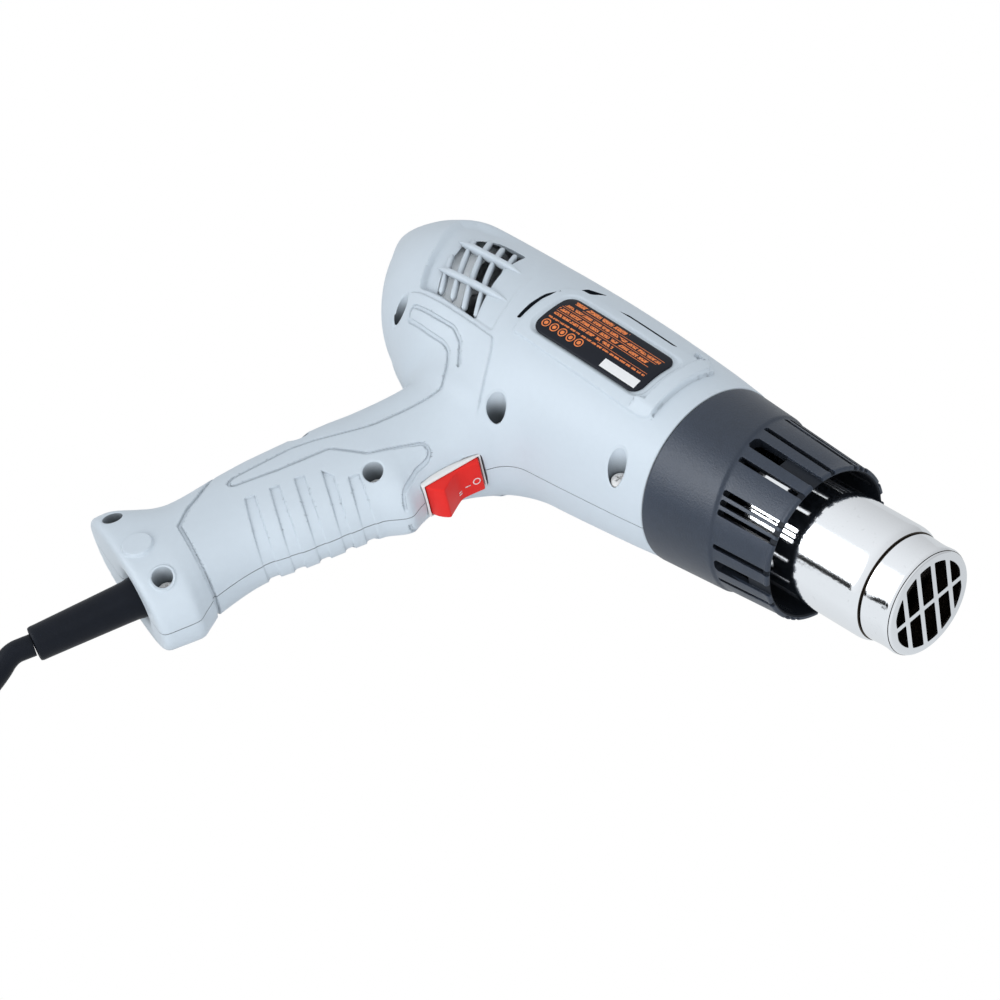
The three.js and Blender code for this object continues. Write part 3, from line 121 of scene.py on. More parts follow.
GRIP_BANDS = [
    [(-102.8, -111.4), (-87.5, -120.1), (-78, -125.5), (-76.4, -120.9), (-85.9, -115.5), (-101.3, -107.8)],
    [(-99.8, -103.1), (-84.1, -111.5), (-74, -116.9), (-72.1, -112.8), (-82.2, -107.4), (-98.4, -99.6)],
    [(-96.9, -94.9), (-80.6, -103.2), (-71, -108.1), (-69.2, -104.2), (-78.8, -99.3), (-95.3, -91.4)],
    [(-92.7, -86.5), (-77.2, -94.8), (-68, -99.7), (-66.5, -96.2), (-75.7, -91.3), (-87.8, -85.0)],
    [(-83.9, -82.4), (-75, -87.5), (-66, -92.6), (-63.8, -88.2), (-72.8, -83.1), (-82.2, -78.6)],
]
SLOTS = [
    [(-75.9, -8.6), (-74.5, -8.2), (-74.7, -2.5), (-74.8, 3), (-74.1, 7.2), (-72.2, 8.9), (-74.2, 9.3),
     (-76.0, 5), (-76.4, -2)],
    [(-70.9, 14.2), (-70.6, 18.6), (-65.2, 22.0), (-66.5, 17.2)],
    [(-53.6, 16.9), (-50, 17.9), (-27, 17.4), (-25.0, 16.2), (-27, 15.4), (-49, 15.9)],
]
WELLS = {
    "rear": (-125.5, -20.8, 14), "waist": (-63.6, -32.6, 9), "front": (-12.5, -26.4, 10),
    "grip_front": (-79.4, -75.2, 6), "grip_back": (-116.4, -78.2, 5),
    "butt_front": (-96, -151, 8), "butt_back": (-132.6, -144.8, 8),
}
WELL_R = 3.5
DISC = (-112.2, -148.4, 5.4)


class Body(Enum):
    """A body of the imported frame."""

    TOOL = "tool"
    ROCKER = "rocker"
    ROTOR = "fan_rotor"
    LEVER = "lever"


class Join(Enum):
    """How two solids are combined."""

    DIFFERENCE = "DIFFERENCE"
    UNION = "UNION"


# numbers and outlines


def smooth_min(a: Array, b: Array, k: float) -> Array:
    """Lower of two distances, rounded over k where they meet."""
    h = np.clip(0.5 + 0.5 * (b - a) / k, 0, 1)
    return b + (a - b) * h - k * h * (1 - h)


def smooth_max(a: Array, b: Array, k: float) -> Array:
    """Higher of two distances, rounded over k where they meet."""
    return -smooth_min(-a, -b, k)


def ease(t: Array | float) -> Array:
    """Smooth step from 0 to 1."""
    t = np.clip(t, 0, 1)
    return t * t * (3 - 2 * t)


def spline(keys: Array, values: Array, at: Array) -> Array:
    """Monotone cubic curve through stations.

    Args:
        keys: rising places of the stations, shape (n,).
        values: one row for each station, shape (n, k).
        at: places to read, shape (m,).

    Returns:
        Values at these places, shape (m, k).
    """
    step = np.diff(keys)[:, None]
    slope = np.diff(values, axis=0) / step
    tangent = np.zeros_like(values)
    left, right = slope[:-1], slope[1:]
    same = left * right > 0
    total = np.where(same, left + right, 1)
    tangent[1:-1] = np.where(same, 2 * left * right / total, 0)
    tangent[0], tangent[-1] = slope[0], slope[-1]
    at = np.clip(at, keys[0], keys[-1])
    i = np.clip(np.searchsorted(keys, at) - 1, 0, len(keys) - 2)
    h = step[i]
    t = ((at - keys[i])[:, None]) / h
    return (
        (2 * t**3 - 3 * t**2 + 1) * values[i]
        + (t**3 - 2 * t**2 + t) * h * tangent[i]
        + (3 * t**2 - 2 * t**3) * values[i + 1]
        + (t**3 - t**2) * h * tangent[i + 1]
    )


REACH = 16.0  # distances from lines and outlines are worked out this near only


def near_box(xy: Array, path: Points, reach: float = REACH) -> Array:
    """Which points lie within reach of the box round a line."""
    low, high = np.min(path, axis=0) - reach, np.max(path, axis=0) + reach
    return np.flatnonzero(((xy > low) & (xy < high)).all(1))


def path_distance(xy: Array, path: Points, closed: bool = False) -> Array:
    """Distance of each point from a line of straight stretches, at most REACH.

    Args:
        xy: points.
        path: the line's corners.
        closed: whether its end joins its start.

    Returns:
        Distances.
    """
    path = np.asarray(path, float)
    ends = np.roll(path, -1, axis=0) if closed else path[1:]
    best = np.full(len(xy), REACH)
    close = near_box(xy, path)
    for a, b in zip(path if closed else path[:-1], ends):
        here = close[near_box(xy[close], np.stack([a, b]))]
        ab, away = b - a, xy[here] - a
        t = np.clip((away @ ab) / max(ab @ ab, 1e-9), 0, 1)
        away -= t[:, None] * ab
        best[here] = np.minimum(best[here], np.hypot(away[:, 0], away[:, 1]))
    return best


def signed_distance(xy: Array, outline: Points) -> Array:
    """Distance from a closed outline, less than 0 inside it.

    Args:
        xy: points.
        outline: its corners.

    Returns:
        Distances.
    """
    points = np.asarray(outline, float)
    close = near_box(xy, points, 0.1)
    x, y = xy[close].T
    inside = np.zeros(len(close), bool)
    for (x0, y0), (x1, y1) in zip(points, np.roll(points, -1, axis=0)):
        if y0 == y1:
            continue
        crosses = (y0 > y) != (y1 > y)
        inside ^= crosses & (x < (x1 - x0) * (y - y0) / (y1 - y0) + x0)
    sign = np.ones(len(xy))
    sign[close[inside]] = -1
    return sign * path_distance(xy, points, closed=True)


def round_corners(points: Points, radius: float, steps: int = 4, closed: bool = True) -> Array:
    """Outline with each corner turned into a short arc.

    Args:
        points: the outline's corners.
        radius: how far each arc reaches.
        steps: parts of each arc.
        closed: whether the end joins the start.

    Returns:
        The new corners.
    """
    points = np.asarray(points, float)
    out = []
    count = len(points)
    for i, p in enumerate(points):
        if not closed and i in (0, count - 1):
            out.append(p)
            continue
        before, after = points[i - 1] - p, points[(i + 1) % count] - p
        lb, la = np.linalg.norm(before), np.linalg.norm(after)
        a = p + before / lb * min(radius, lb * 0.45)
        b = p + after / la * min(radius, la * 0.45)
        for s in range(steps + 1):
            t = s / steps
            out.append((1 - t) ** 2 * a + 2 * t * (1 - t) * p + t * t * b)
    return np.array(out)


def rounded_box(
    rear: float, front: float, foot: float, top: float, radius: float, steps: int = 6
) -> Array:
    """Outline of a rectangle with round corners.

    Args:
        rear: lowest x.
        front: highest x.
        foot: lowest y.
        top: highest y.
        radius: radius of the corners.
        steps: parts of each arc.

    Returns:
        Corners of the outline.
    """
    corners = [(front - radius, top - radius), (rear + radius, top - radius),
               (rear + radius, foot + radius), (front - radius, foot + radius)]
    out = []
    for i, (cx, cy) in enumerate(corners):
        for s in range(steps + 1):
            turn = math.pi / 2 * (i + s / steps)
            out.append((cx + radius * math.cos(turn), cy + radius * math.sin(turn)))
    return np.array(out)


def squircle(turn: float, power: float) -> tuple[float, float]:
    """Point at an angle of a rounded square, squarer with more power."""
    c, s = math.cos(turn), math.sin(turn)
    return math.copysign(abs(c) ** (2 / power), c), math.copysign(abs(s) ** (2 / power), s)


def prism_faces(n: int, flip: bool = False) -> list[list[int]]:
    """Faces of a solid between two like rings of points.

    Args:
        n: points in a ring.
        flip: whether the faces look the other way.

    Returns:
        Two caps, then the wall.
    """
    caps = [list(range(n))[::-1], list(range(n, 2 * n))]
    wall = [[i, (i + 1) % n, n + (i + 1) % n, n + i] for i in range(n)]
    if flip:
        return [cap[::-1] for cap in caps] + [[a, d, c, b] for a, b, c, d in wall]
    return caps + wall


def ring_faces(n: int) -> list[list[int]]:
    """Faces of a flat ring: outer and inner rings on one side, then on the other.

    Args:
        n: points in each ring.

    Returns:
        Rows of point numbers.
    """
    faces = []
    for i in range(n):
        j = (i + 1) % n
        faces += [[i, j, n + j, n + i], [2 * n + i, 3 * n + i, 3 * n + j, 2 * n + j],
                  [i, 2 * n + i, 2 * n + j, j], [n + i, n + j, 3 * n + j, 3 * n + i]]
    return faces


def on_handle(distance: float, ahead: float) -> Array:
    """Point on the middle plane of the handle."""
    return HANDLE_TOP + DOWN * distance + AHEAD * ahead


# casing


@dataclass
class Pad:
    """Flat area that stands out of the casing or is sunk into it.

    Attributes:
        outline: closed outline seen from the side.
        rise: height over the surface, less than 0 where sunk.
        ramp: width of the slope inside the outline.
        facing: least part of the normal that has to face sideways.
        fade: point, direction and length over which the pad comes to nothing.
        edge: part of the rise left where the surface turns edge-on.
    """

    outline: np.ndarray
    rise: float
    ramp: float
    facing: float = 0.0
    fade: tuple = ()
    edge: float = 1.0

    def move(self, xy: Array, facing: Array) -> Array:
        """Height at each point.

        Args:
            xy: points seen from the side.
            facing: how far the surface faces sideways.

        Returns:
            Heights.
        """
        out = self.rise * ease(-signed_distance(xy, self.outline) / self.ramp)
        if self.facing:
            out *= ease((facing - self.facing) / 0.15)
        if self.fade:
            point, way, length = self.fade
            out *= 1 - ease(((xy - np.array(point)) @ np.array(way)) / length)
        return out * (self.edge + (1 - self.edge) * ease(facing / 0.8))


@dataclass
class Groove:
    """Channel with a flat bottom along a line seen from the side."""

    path: np.ndarray
    width: float
    depth: float
    ramp: float
    facing: float = 0.0

    def move(self, xy: Array, facing: Array) -> Array:
        """Height at each point, less than 0 in the channel."""
        out = -self.depth * (1 - ease((path_distance(xy, self.path) - self.width) / self.ramp))
        return out * ease((facing - self.facing) / 0.15) if self.facing else out


@dataclass
class Casing:
    """Surface of the casing as a field of distances, and what is carved in it."""

    pads: list[Pad] = field(default_factory=list)
    grooves: list[Groove] = field(default_factory=list)

    def __post_init__(self) -> None:
        """Sorts the stations and lists the details."""
        tip = BARREL_TIP[0]
        rows = np.array([BARREL_TIP, *BARREL], float)
        self.barrel_keys = np.sqrt(rows[:, 0] - tip)
        self.barrel_rows = rows[:, 1:]
        rows = np.array(HANDLE, float)
        self.handle_keys, self.handle_rows = rows[:, 0], rows[:, 1:]
        frame_pad = Pad(round_corners(FRAME_OUTLINE, 2.4), 1.0, 0.7, 0.3)
        recess = Pad(rounded_box(*RECESS), -1.0, 1.5, 0.3)
        bar = Pad(round_corners(BAR_OUTLINE, 0.4), 1.45, 0.32, 0.25, ((0, -9.6), (0.0, -1.0), 4.4))
        cheek = Pad(round_corners(CHEEK, 0.8), 0.75, 0.5, 0.0, ((0, -34), (0.0, -1.0), 6))
        self.pads = [frame_pad, recess, bar, cheek]
        self.pads += [Pad(round_corners(band, 0.5), -0.85, 0.45, edge=0.3) for band in GRIP_BANDS]
        self.grooves = [
            Groove(BUTT_GROOVE, 0.5, 0.85, 0.32),
            Groove(round_corners(GRIP_PATH, 1.6, closed=False), 0.4, 0.72, 0.28, 0.1),
        ]

    def barrel(self, p: Array) -> Array:
        """Distance from the barrel.

        Args:
            p: points.

        Returns:
            Distances.
        """
        x, y, z = p.T
        top, depth, half = spline(
            self.barrel_keys, self.barrel_rows, np.sqrt(np.maximum(x - BARREL_TIP[0], 1e-4))
        ).T
        middle = (top - depth) / 2
        hy, hz = np.maximum((top + depth) / 2, 0.05), np.maximum(half, 0.05)
        a, b = (y - middle) / hy, z / hz
        q = np.maximum(np.hypot(a, b), 1e-6)
        d = (q - 1) * q / np.maximum(np.hypot(a / hy, b / hz), 1e-6)
        return np.maximum(d, BARREL_TIP[0] - x)

    def handle(self, p: Array) -> Array:
        """Distance from the handle.

        Args:
            p: points.

        Returns:
            Distances.
        """
        xy = p[:, :2] - HANDLE_TOP
        s, f = xy @ DOWN, xy @ AHEAD
        ahead, behind, half = spline(self.handle_keys, self.handle_rows, s).T
        hf = (ahead + behind) / 2
        a, b = np.abs(f - (ahead - behind) / 2) / hf, np.abs(p[:, 2]) / half
        n = SQUARE + 0.1 * ease((s - 138) / 12)
        q = np.maximum((a**n + b**n) ** (1 / n), 1e-6)
        g = np.hypot((a / q) ** (n - 1) / hf, (b / q) ** (n - 1) / half)
        d = (q - 1) / np.maximum(g, 1e-6)
        end = (s - (161.0 - 0.0635 * f)) * 0.998
        d = smooth_max(d, end, 2.9)
        reach = np.hypot(f - RELIEF_AHEAD, p[:, 2])
        funnel = (7.2 + 1.15 * np.maximum(s - 157.6, 0) - reach) * 0.66
        d = smooth_max(d, np.where(s > 140, funnel, -9.0), 1.6)
        return np.maximum(d, 6 - s)

    def skin(self, p: Array) -> Array:
        """Distance from the smooth outside."""
        d = smooth_min(self.barrel(p), self.handle(p), 6.0)
        return smooth_max(d, p[:, 0], 0.7)

    def half(self, p: Array) -> Array:
        """Distance from the right half, closed a little past the middle plane."""
        return np.maximum(self.skin(p), -p[:, 2] - 1.5)

    def normals(self, p: Array) -> Array:
        """Outward directions of the smooth outside."""
        g = gradient(self.skin, p)
        return g / np.maximum(np.linalg.norm(g, axis=1), 1e-6)[:, None]

    def side_height(self, xy: Array) -> Array:
        """Height z of the outside over points seen from the side.

        Args:
            xy: points seen from the side.

        Returns:
            Heights.
        """
        low, high = np.full(len(xy), 3.0), np.full(len(xy), 46.0)
        for _ in range(26):
            middle = (low + high) / 2
            out = self.skin(np.c_[xy, middle]) > 0
            high, low = np.where(out, middle, high), np.where(out, low, middle)
        return (low + high) / 2

    def carve(self, p: Array, normal: Array) -> Array:
        """How far each point of the smooth outside moves along its normal.

        Args:
            p: points.
            normal: the surface's normals there.

        Returns:
            Moves.
        """
        xy, facing = p[:, :2], np.abs(normal[:, 2])
        out = sum(detail.move(xy, facing) for detail in [*self.pads, *self.grooves])
        out += self.scoop(xy, facing)
        cx, cy, r = DISC
        out += 1.25 * ease((r + 0.3 - np.hypot(xy[:, 0] - cx, xy[:, 1] - cy)) / 0.9)
        for name, (wx, wy, _) in WELLS.items():
            d = np.hypot(xy[:, 0] - wx, xy[:, 1] - wy) - WELL_R
            if name == "butt_front":
                out += 0.6 * ease((1.15 - d) / 0.6)
            out -= 0.3 * ease(1 - d / 0.5)
        vent = signed_distance(xy, round_corners(VENT, 1.0))
        out -= 0.35 * ease(1 - vent / 0.6) * (facing > 0.4)
        return out

    def scoop(self, xy: Array, facing: Array) -> Array:
        """Hollow round the intake's rear, crisp below and soft above.

        Args:
            xy: points seen from the side.
            facing: how far the surface faces sideways.

        Returns:
            Moves.
        """
        d = -signed_distance(xy, round_corners(SCOOP, 1.5))
        ramp = 1.0 + 3.4 * ease((xy[:, 1] + 8) / 26)
        fade = 1 - 0.8 * ease((xy[:, 0] + 0.5 * xy[:, 1] + 116) / 24)
        return -2.4 * ease(d / ramp) * fade * ease((facing - 0.3) / 0.3)

    def wanted(self, p: Array) -> Array:
        """Edge length that the detail near each point needs.

        Args:
            p: points.

        Returns:
            Lengths.
        """
        xy = p[:, :2]
        near = np.full(len(p), REACH)
        for pad in self.pads:
            d = signed_distance(xy, pad.outline)
            near = np.minimum(near, np.abs(d + pad.ramp / 2) - pad.ramp / 2)
        for groove in self.grooves:
            near = np.minimum(near, path_distance(xy, groove.path) - groove.width - groove.ramp)
        for wx, wy, _ in WELLS.values():
            rim = np.hypot(xy[:, 0] - wx, xy[:, 1] - wy) - WELL_R
            near = np.minimum(near, np.abs(rim - 0.4) - 0.8)
        near = np.minimum(near, np.abs(signed_distance(xy, np.array(VENT))) - 0.6)
        scoop = np.abs(signed_distance(xy, np.array(SCOOP)) + 1.2) - 1.2
        near = np.minimum(near, scoop + 0.3 * (xy[:, 1] > -8))
        cx, cy, r = DISC
        near = np.minimum(near, np.abs(np.hypot(xy[:, 0] - cx, xy[:, 1] - cy) - r + 0.4) - 0.9)
        near = np.minimum(near, np.abs(p[:, 0] + 0.4) - 0.4)
        return np.where(near < 0.12, 0.42, np.where(near < 0.8, 0.95, 2.6))


def gradient(distance: Field, p: Array, h: float = 0.04) -> Array:
    """Slope of a field of distances.

    Args:
        distance: the field.
        p: points.
        h: step to each side.

    Returns:
        Slopes.
    """
    out = np.empty_like(p)
    for axis in range(3):
        step = np.zeros(3)
        step[axis] = h
        out[:, axis] = (distance(p + step) - distance(p - step)) / (2 * h)
    return out


def snap(p: Array, distance: Field, rounds: int = 2) -> Array:
    """Points moved onto the surface of a field of distances.

    Args:
        p: points.
        distance: the field.
        rounds: how often they are moved.

    Returns:
        The moved points.
    """
    for _ in range(rounds):
        g = gradient(distance, p)
        d = np.clip(distance(p), -1.5, 1.5)
        p = p - (d / np.maximum((g * g).sum(1), 0.05))[:, None] * g
    return p


def surface_net(distance: Field, low: tuple, high: tuple, step: float) -> tuple[Array, Array]:
    """Mesh round the inside of a field of distances.

    Args:
        distance: function from points to distances.
        low: lowest corner of the space searched.
        high: highest corner.
        step: size of a cell.

    Returns:
        Points and four-sided faces.
    """
    axes = [np.arange(a, b + step, step) for a, b in zip(low, high)]
    grid = np.stack(np.meshgrid(*axes, indexing="ij"), -1)
    value = distance(grid.reshape(-1, 3)).reshape(grid.shape[:3])
    cells = np.array(value.shape) - 1
    total, count = np.zeros((*cells, 3)), np.zeros(cells)
    for axis in range(3):
        u, v = [a for a in range(3) if a != axis]
        for du in (0, 1):
            for dv in (0, 1):
                start = [0, 0, 0]
                start[u], start[v] = du, dv
                a = value[tuple(slice(s, s + n) for s, n in zip(start, cells))]
                start[axis] = 1
                b = value[tuple(slice(s, s + n) for s, n in zip(start, cells))]
                cross = (a < 0) != (b < 0)
                t = np.where(cross, a / np.where(cross, a - b, 1), 0)
                total[..., axis] += t
                total[..., u] += cross * du
                total[..., v] += cross * dv
                count += cross
    used = count > 0
    index = np.full(cells, -1)
    index[used] = np.arange(used.sum())
    points = np.array(low) + step * (np.argwhere(used) + total[used] / count[used][:, None])
    faces = []
    for axis in range(3):
        u, v = (axis + 1) % 3, (axis + 2) % 3
        a = np.moveaxis(value, (axis, u, v), (0, 1, 2))
        place = np.moveaxis(index, (axis, u, v), (0, 1, 2))
        cross = (a[:-1] < 0) != (a[1:] < 0)
        i, j, k = np.nonzero(cross[:, 1:-1, 1:-1])
        j, k = j + 1, k + 1
        quad = np.stack([place[i, j - 1, k - 1], place[i, j, k - 1], place[i, j, k], place[i, j - 1, k]], 1)
        inward = a[i, j, k] < 0
        faces.append(np.where(inward[:, None], quad, quad[:, ::-1]))
    return points, np.concatenate(faces)


def to_triangles(quads: Array) -> Array:
    """Two triangles for each four-sided face."""
    return np.concatenate([quads[:, [0, 1, 2]], quads[:, [0, 2, 3]]])


def refine(points: Array, faces: Array, wanted: Field) -> tuple[Array, Array]:
    """Triangles with each edge halved that is longer than wanted at its middle.

    Args:
        points: the mesh's points.
        faces: its triangles.
        wanted: edge length wanted at points.

    Returns:
        Points and triangles.
    """
    sides = np.sort(np.stack([faces, np.roll(faces, -1, axis=1)], -1).reshape(-1, 2), axis=1)
    edges, inverse = np.unique(sides, axis=0, return_inverse=True)
    a, b = points[edges[:, 0]], points[edges[:, 1]]
    middle = (a + b) / 2
    mark = np.linalg.norm(a - b, axis=1) > wanted(middle)
    number = np.full(len(edges), -1)
    number[mark] = len(points) + np.arange(mark.sum())
    new = number[inverse.reshape(-1, 3)]
    count = (new >= 0).sum(1)
    out = [faces[count == 0]]
    for turn in range(3):
        f, n = np.roll(faces, -turn, axis=1), np.roll(new, -turn, axis=1)
        one = (count == 1) & (n[:, 0] >= 0)
        out += [np.stack([f[one, 0], n[one, 0], f[one, 2]], 1), np.stack([n[one, 0], f[one, 1], f[one, 2]], 1)]
        two = (count == 2) & (n[:, 2] < 0)
        out += [
            np.stack([n[two, 0], f[two, 1], n[two, 1]], 1),
            np.stack([f[two, 0], n[two, 0], n[two, 1]], 1),
            np.stack([f[two, 0], n[two, 1], f[two, 2]], 1),
        ]
    full = count == 3
    f, n = faces[full], new[full]
    out += [
        np.stack([f[:, 0], n[:, 0], n[:, 2]], 1), np.stack([n[:, 0], f[:, 1], n[:, 1]], 1),
        np.stack([n[:, 2], n[:, 1], f[:, 2]], 1), n,
    ]
    return np.concatenate([points, middle[mark]]), np.concatenate(out)


# Blender meshes


def to_frame(points: Points) -> Array:
    """Points of the tool in millimetres, as places in the row frame in metres."""
    return (ORIGIN + np.asarray(points, float) @ AXES) / 1000


def make_object(name: str, points: Points, faces: Points, in_tool: bool = True, smooth: bool = True) -> Object:
    """Mesh object from points in millimetres.

    Args:
        name: its name.
        points: the points.
        faces: rows of point numbers.
        in_tool: whether the points are in the tool's axes, not in the row frame's.
        smooth: whether it is shaded smooth.

    Returns:
        The object, linked to the scene.
    """
    place = to_frame(points) if in_tool else np.asarray(points, float) / 1000
    mesh = bpy.data.meshes.new(name)
    mesh.from_pydata(place.tolist(), [], [list(map(int, f)) for f in faces])
    mesh.validate()
    if smooth:
        mesh.polygons.foreach_set("use_smooth", [True] * len(mesh.polygons))
    obj = bpy.data.objects.new(name, mesh)
    bpy.context.scene.collection.objects.link(obj)
    return obj


def sharpen(obj: Object, degrees: float = 32) -> Object:
    """Smooth shading apart from edges sharper than an angle."""
    obj.data.polygons.foreach_set("use_smooth", [True] * len(obj.data.polygons))
    obj.data.set_sharp_from_angle(angle=math.radians(degrees))
    return obj


def flatten(obj: Object) -> Object:
    """Works an object's modifiers into its mesh.

    Args:
        obj: the object.

    Returns:
        The same object.
    """
    graph = bpy.context.evaluated_depsgraph_get()
    mesh = bpy.data.meshes.new_from_object(obj.evaluated_get(graph))
    obj.modifiers.clear()
    old, obj.data = obj.data, mesh
    bpy.data.meshes.remove(old)
    return obj


def combine(target: Object, tool: Object, how: Join = Join.DIFFERENCE) -> Object:
    """The target with another solid cut out of it or joined to it.

    Args:
        target: the solid that stays.
        tool: the other one, which is removed.
        how: cut or join.

    Returns:
        The target.
    """
    before = len(target.data.polygons)
    change = target.modifiers.new("cut", "BOOLEAN")
    change.operation, change.object, change.solver = how.value, tool, "MANIFOLD"
    flatten(target)
    if len(target.data.polygons) in (0, before):
        log.warning("%s: %s by %s changed nothing", target.name, how.value, tool.name)
    old = tool.data
    bpy.data.objects.remove(tool)
    bpy.data.meshes.remove(old)
    return target


def round_edges(obj: Object, width: float, segments: int = 2, degrees: float = 35) -> Object:
    """Bevel of the object's sharp edges, in millimetres.

    Args:
        obj: the object.
        width: width of the bevel.
        segments: parts of the bevel.
        degrees: least angle of a sharp edge.

    Returns:
        The object.
    """
    bevel = obj.modifiers.new("bevel", "BEVEL")
    bevel.width, bevel.segments = width / 1000, segments
    bevel.limit_method, bevel.angle_limit = "ANGLE", math.radians(degrees)
    bevel.use_clamp_overlap = True
    return sharpen(flatten(obj))


def join(objects: list[Object], name: str) -> Object:
    """One object out of several, with their materials kept.

    Args:
        objects: the objects.
        name: name of the result.

    Returns:
        The first object, with the others in it.
    """
    target = objects[0]
    with bpy.context.temp_override(active_object=target, selected_editable_objects=objects):
        bpy.ops.object.join()
    target.name = name
    return target


def prism(name: str, outline: Points, z0: float, z1: float) -> Object:
    """Solid over an outline seen from the side.

    Args:
        name: its name.
        outline: its corners.
        z0: lower end.
        z1: upper end.

    Returns:
        The object.
    """
    outline = np.asarray(outline, float)
    x, y = outline.T
    if np.sum(x * np.roll(y, -1) - y * np.roll(x, -1)) < 0:
        outline = outline[::-1]
    n = len(outline)
    points = np.concatenate([np.c_[outline, np.full(n, z0)], np.c_[outline, np.full(n, z1)]])
    return make_object(name, points, prism_faces(n), smooth=False)


def circle(cx: float, cy: float, r: float, sides: int = 48) -> Array:
    """Round outline."""
    turn = np.arange(sides) * 2 * math.pi / sides
    return np.c_[cx + r * np.cos(turn), cy + r * np.sin(turn)]


def lathe(
    name: str, profile: Points, start: tuple = (0, 0, 0), along: tuple = (1, 0, 0), sides: int = 96,
    closed: bool = True, shape: Callable[[float, list], Array] | None = None,
) -> Object:
    """Mesh turned about a line in the tool's axes.

    Args:
        name: its name.
        profile: places along the line and radii, in order.
        start: point on the line.
        along: direction of the line.
        sides: number of sides.
        closed: whether the profile's end joins its start.
        shape: function of an angle and the profile's rows that gives places and radii there.

    Returns:
        The object.
    """
    along = np.array(along, float) / np.linalg.norm(along)
    up = np.array([0, 0, 1.0]) if abs(along[2]) < 0.9 else np.array([0, 1.0, 0])
    up = up - along * (up @ along)
    up /= np.linalg.norm(up)
    across = np.cross(along, up)
    if shape is None:
        profile = np.array(profile, float)
    rows = len(profile)
    points = []
    for k in range(sides):
        turn = 2 * math.pi * k / sides
        ring = profile if shape is None else shape(turn, profile)
        out = up * math.cos(turn) + across * math.sin(turn)
        points.append(np.array(start) + ring[:, :1] * along + ring[:, 1:] * out)
    faces = []
    last = rows if closed else rows - 1
    for k in range(sides):
        n = (k + 1) % sides
        for i in range(last):
            j = (i + 1) % rows
            faces.append([k * rows + i, k * rows + j, n * rows + j, n * rows + i])
    return tidy(make_object(name, np.concatenate(points), faces))


def face_values(mesh: bpy.types.Mesh, name: str) -> Array:
    """One row of three numbers for each face of a mesh."""
    values = np.empty(len(mesh.polygons) * 3)
    mesh.polygons.foreach_get(name, values)
    return values.reshape(-1, 3)


def tidy(obj: Object) -> Object:
    """The mesh without doubled points, with its faces turned outward.

    Args:
        obj: the object.

    Returns:
        The same object.
    """
    work = bmesh.new()
    work.from_mesh(obj.data)
    bmesh.ops.remove_doubles(work, verts=work.verts, dist=1e-6)
    bmesh.ops.dissolve_degenerate(work, edges=work.edges, dist=1e-7)
    bmesh.ops.recalc_face_normals(work, faces=work.faces)
    work.to_mesh(obj.data)
    work.free()
    return obj


def rod(name: str, points: Points, normals: Points, size: tuple[float, float, float, float]) -> Object:
    """Bar with a rounded section along a line, thinner at its ends.

    Args:
        name: its name.
        points: its middle line.
        normals: its upward directions.
        size: width, height, length of the thin ends and squareness of the section.

    Returns:
        The object.
    """
    width, height, ends, power = size
    sides = 12
    points, normals = np.asarray(points, float), np.asarray(normals, float)
    tangent = np.gradient(points, axis=0)
    tangent /= np.linalg.norm(tangent, axis=1)[:, None]
    side = np.cross(tangent, normals)
    side /= np.linalg.norm(side, axis=1)[:, None]
    normals = np.cross(side, tangent)
    length = np.r_[0, np.cumsum(np.linalg.norm(np.diff(points, axis=0), axis=1))]
    taper = np.sqrt(np.clip(np.minimum(length, length[-1] - length) / ends, 0.02, 1))
    out, faces, n = [], [], len(points)
    for k in range(sides):
        turn = 2 * math.pi * (k + 0.5) / sides
        c, s = squircle(turn, power)
        a, b = c * width / 2, s * height / 2
        out.append(points + side * (a * taper)[:, None] + normals * (b * taper)[:, None])
    for k in range(sides):
        m = (k + 1) % sides
        faces += [[k * n + i, k * n + i + 1, m * n + i + 1, m * n + i] for i in range(n - 1)]
    faces.append([k * n for k in range(sides)][::-1])
    faces.append([k * n + n - 1 for k in range(sides)])
    return tidy(make_object(name, np.concatenate(out), faces))


# materials


@dataclass
class Graph:
    """Short way to write a material's nodes."""

    tree: bpy.types.NodeTree

    def node(self, kind: str, **inputs: object) -> bpy.types.Node:
        """New node with its inputs set or linked by name.

        Args:
            kind: Blender's name of the node's type.
            **inputs: values or sockets by input; a leading underscore sets a property.

        Returns:
            The node.
        """
        made = self.tree.nodes.new(kind)
        for name, value in inputs.items():
            if name.startswith("_"):
                setattr(made, name[1:], value)
        for name, value in inputs.items():
            if name.startswith("_"):
                continue
            key = int(name[1:]) if name[0] == "i" and name[1:].isdigit() else name.replace("_", " ")
            self.put(value, made.inputs[key])
        return made

    def put(self, value: object, socket: Socket) -> None:
        """Links a socket, or sets a value, into an input.

        Args:
            value: the socket or value.
            socket: the input.
        """
        if isinstance(value, bpy.types.NodeSocket):
            self.tree.links.new(value, socket)
        else:
            socket.default_value = value

    def math(self, how: str, a: Value, b: Value = 0.0, c: Value = 0.0) -> Socket:
        """Result of a sum or another operation."""
        return self.node("ShaderNodeMath", _operation=how, i0=a, i1=b, i2=c).outputs[0]

    def noise(self, place: Socket, scale: Value, detail: float = 3.0, rough: float = 0.5) -> Socket:
        """Noise between 0 and 1."""
        return self.node("ShaderNodeTexNoise", Vector=place, Scale=scale, Detail=detail, Roughness=rough).outputs[0]

    def range(self, value: Value, low: float, high: float, to_low: float = 0.0, to_high: float = 1.0) -> Socket:
        """Value stretched from one range to another and kept in it."""
        return self.node("ShaderNodeMapRange", Value=value, From_Min=low, From_Max=high,
                         To_Min=to_low, To_Max=to_high).outputs[0]

    def mix(self, amount: Value, a: object, b: object) -> Socket:
        """Colour between two others.

        Args:
            amount: share of the second colour.
            a: the first colour.
            b: the second colour.

        Returns:
            The mixed colour.
        """
        made = self.node("ShaderNodeMix", _data_type="RGBA", Factor=amount)
        self.put(a, made.inputs[6])
        self.put(b, made.inputs[7])
        return made.outputs[2]


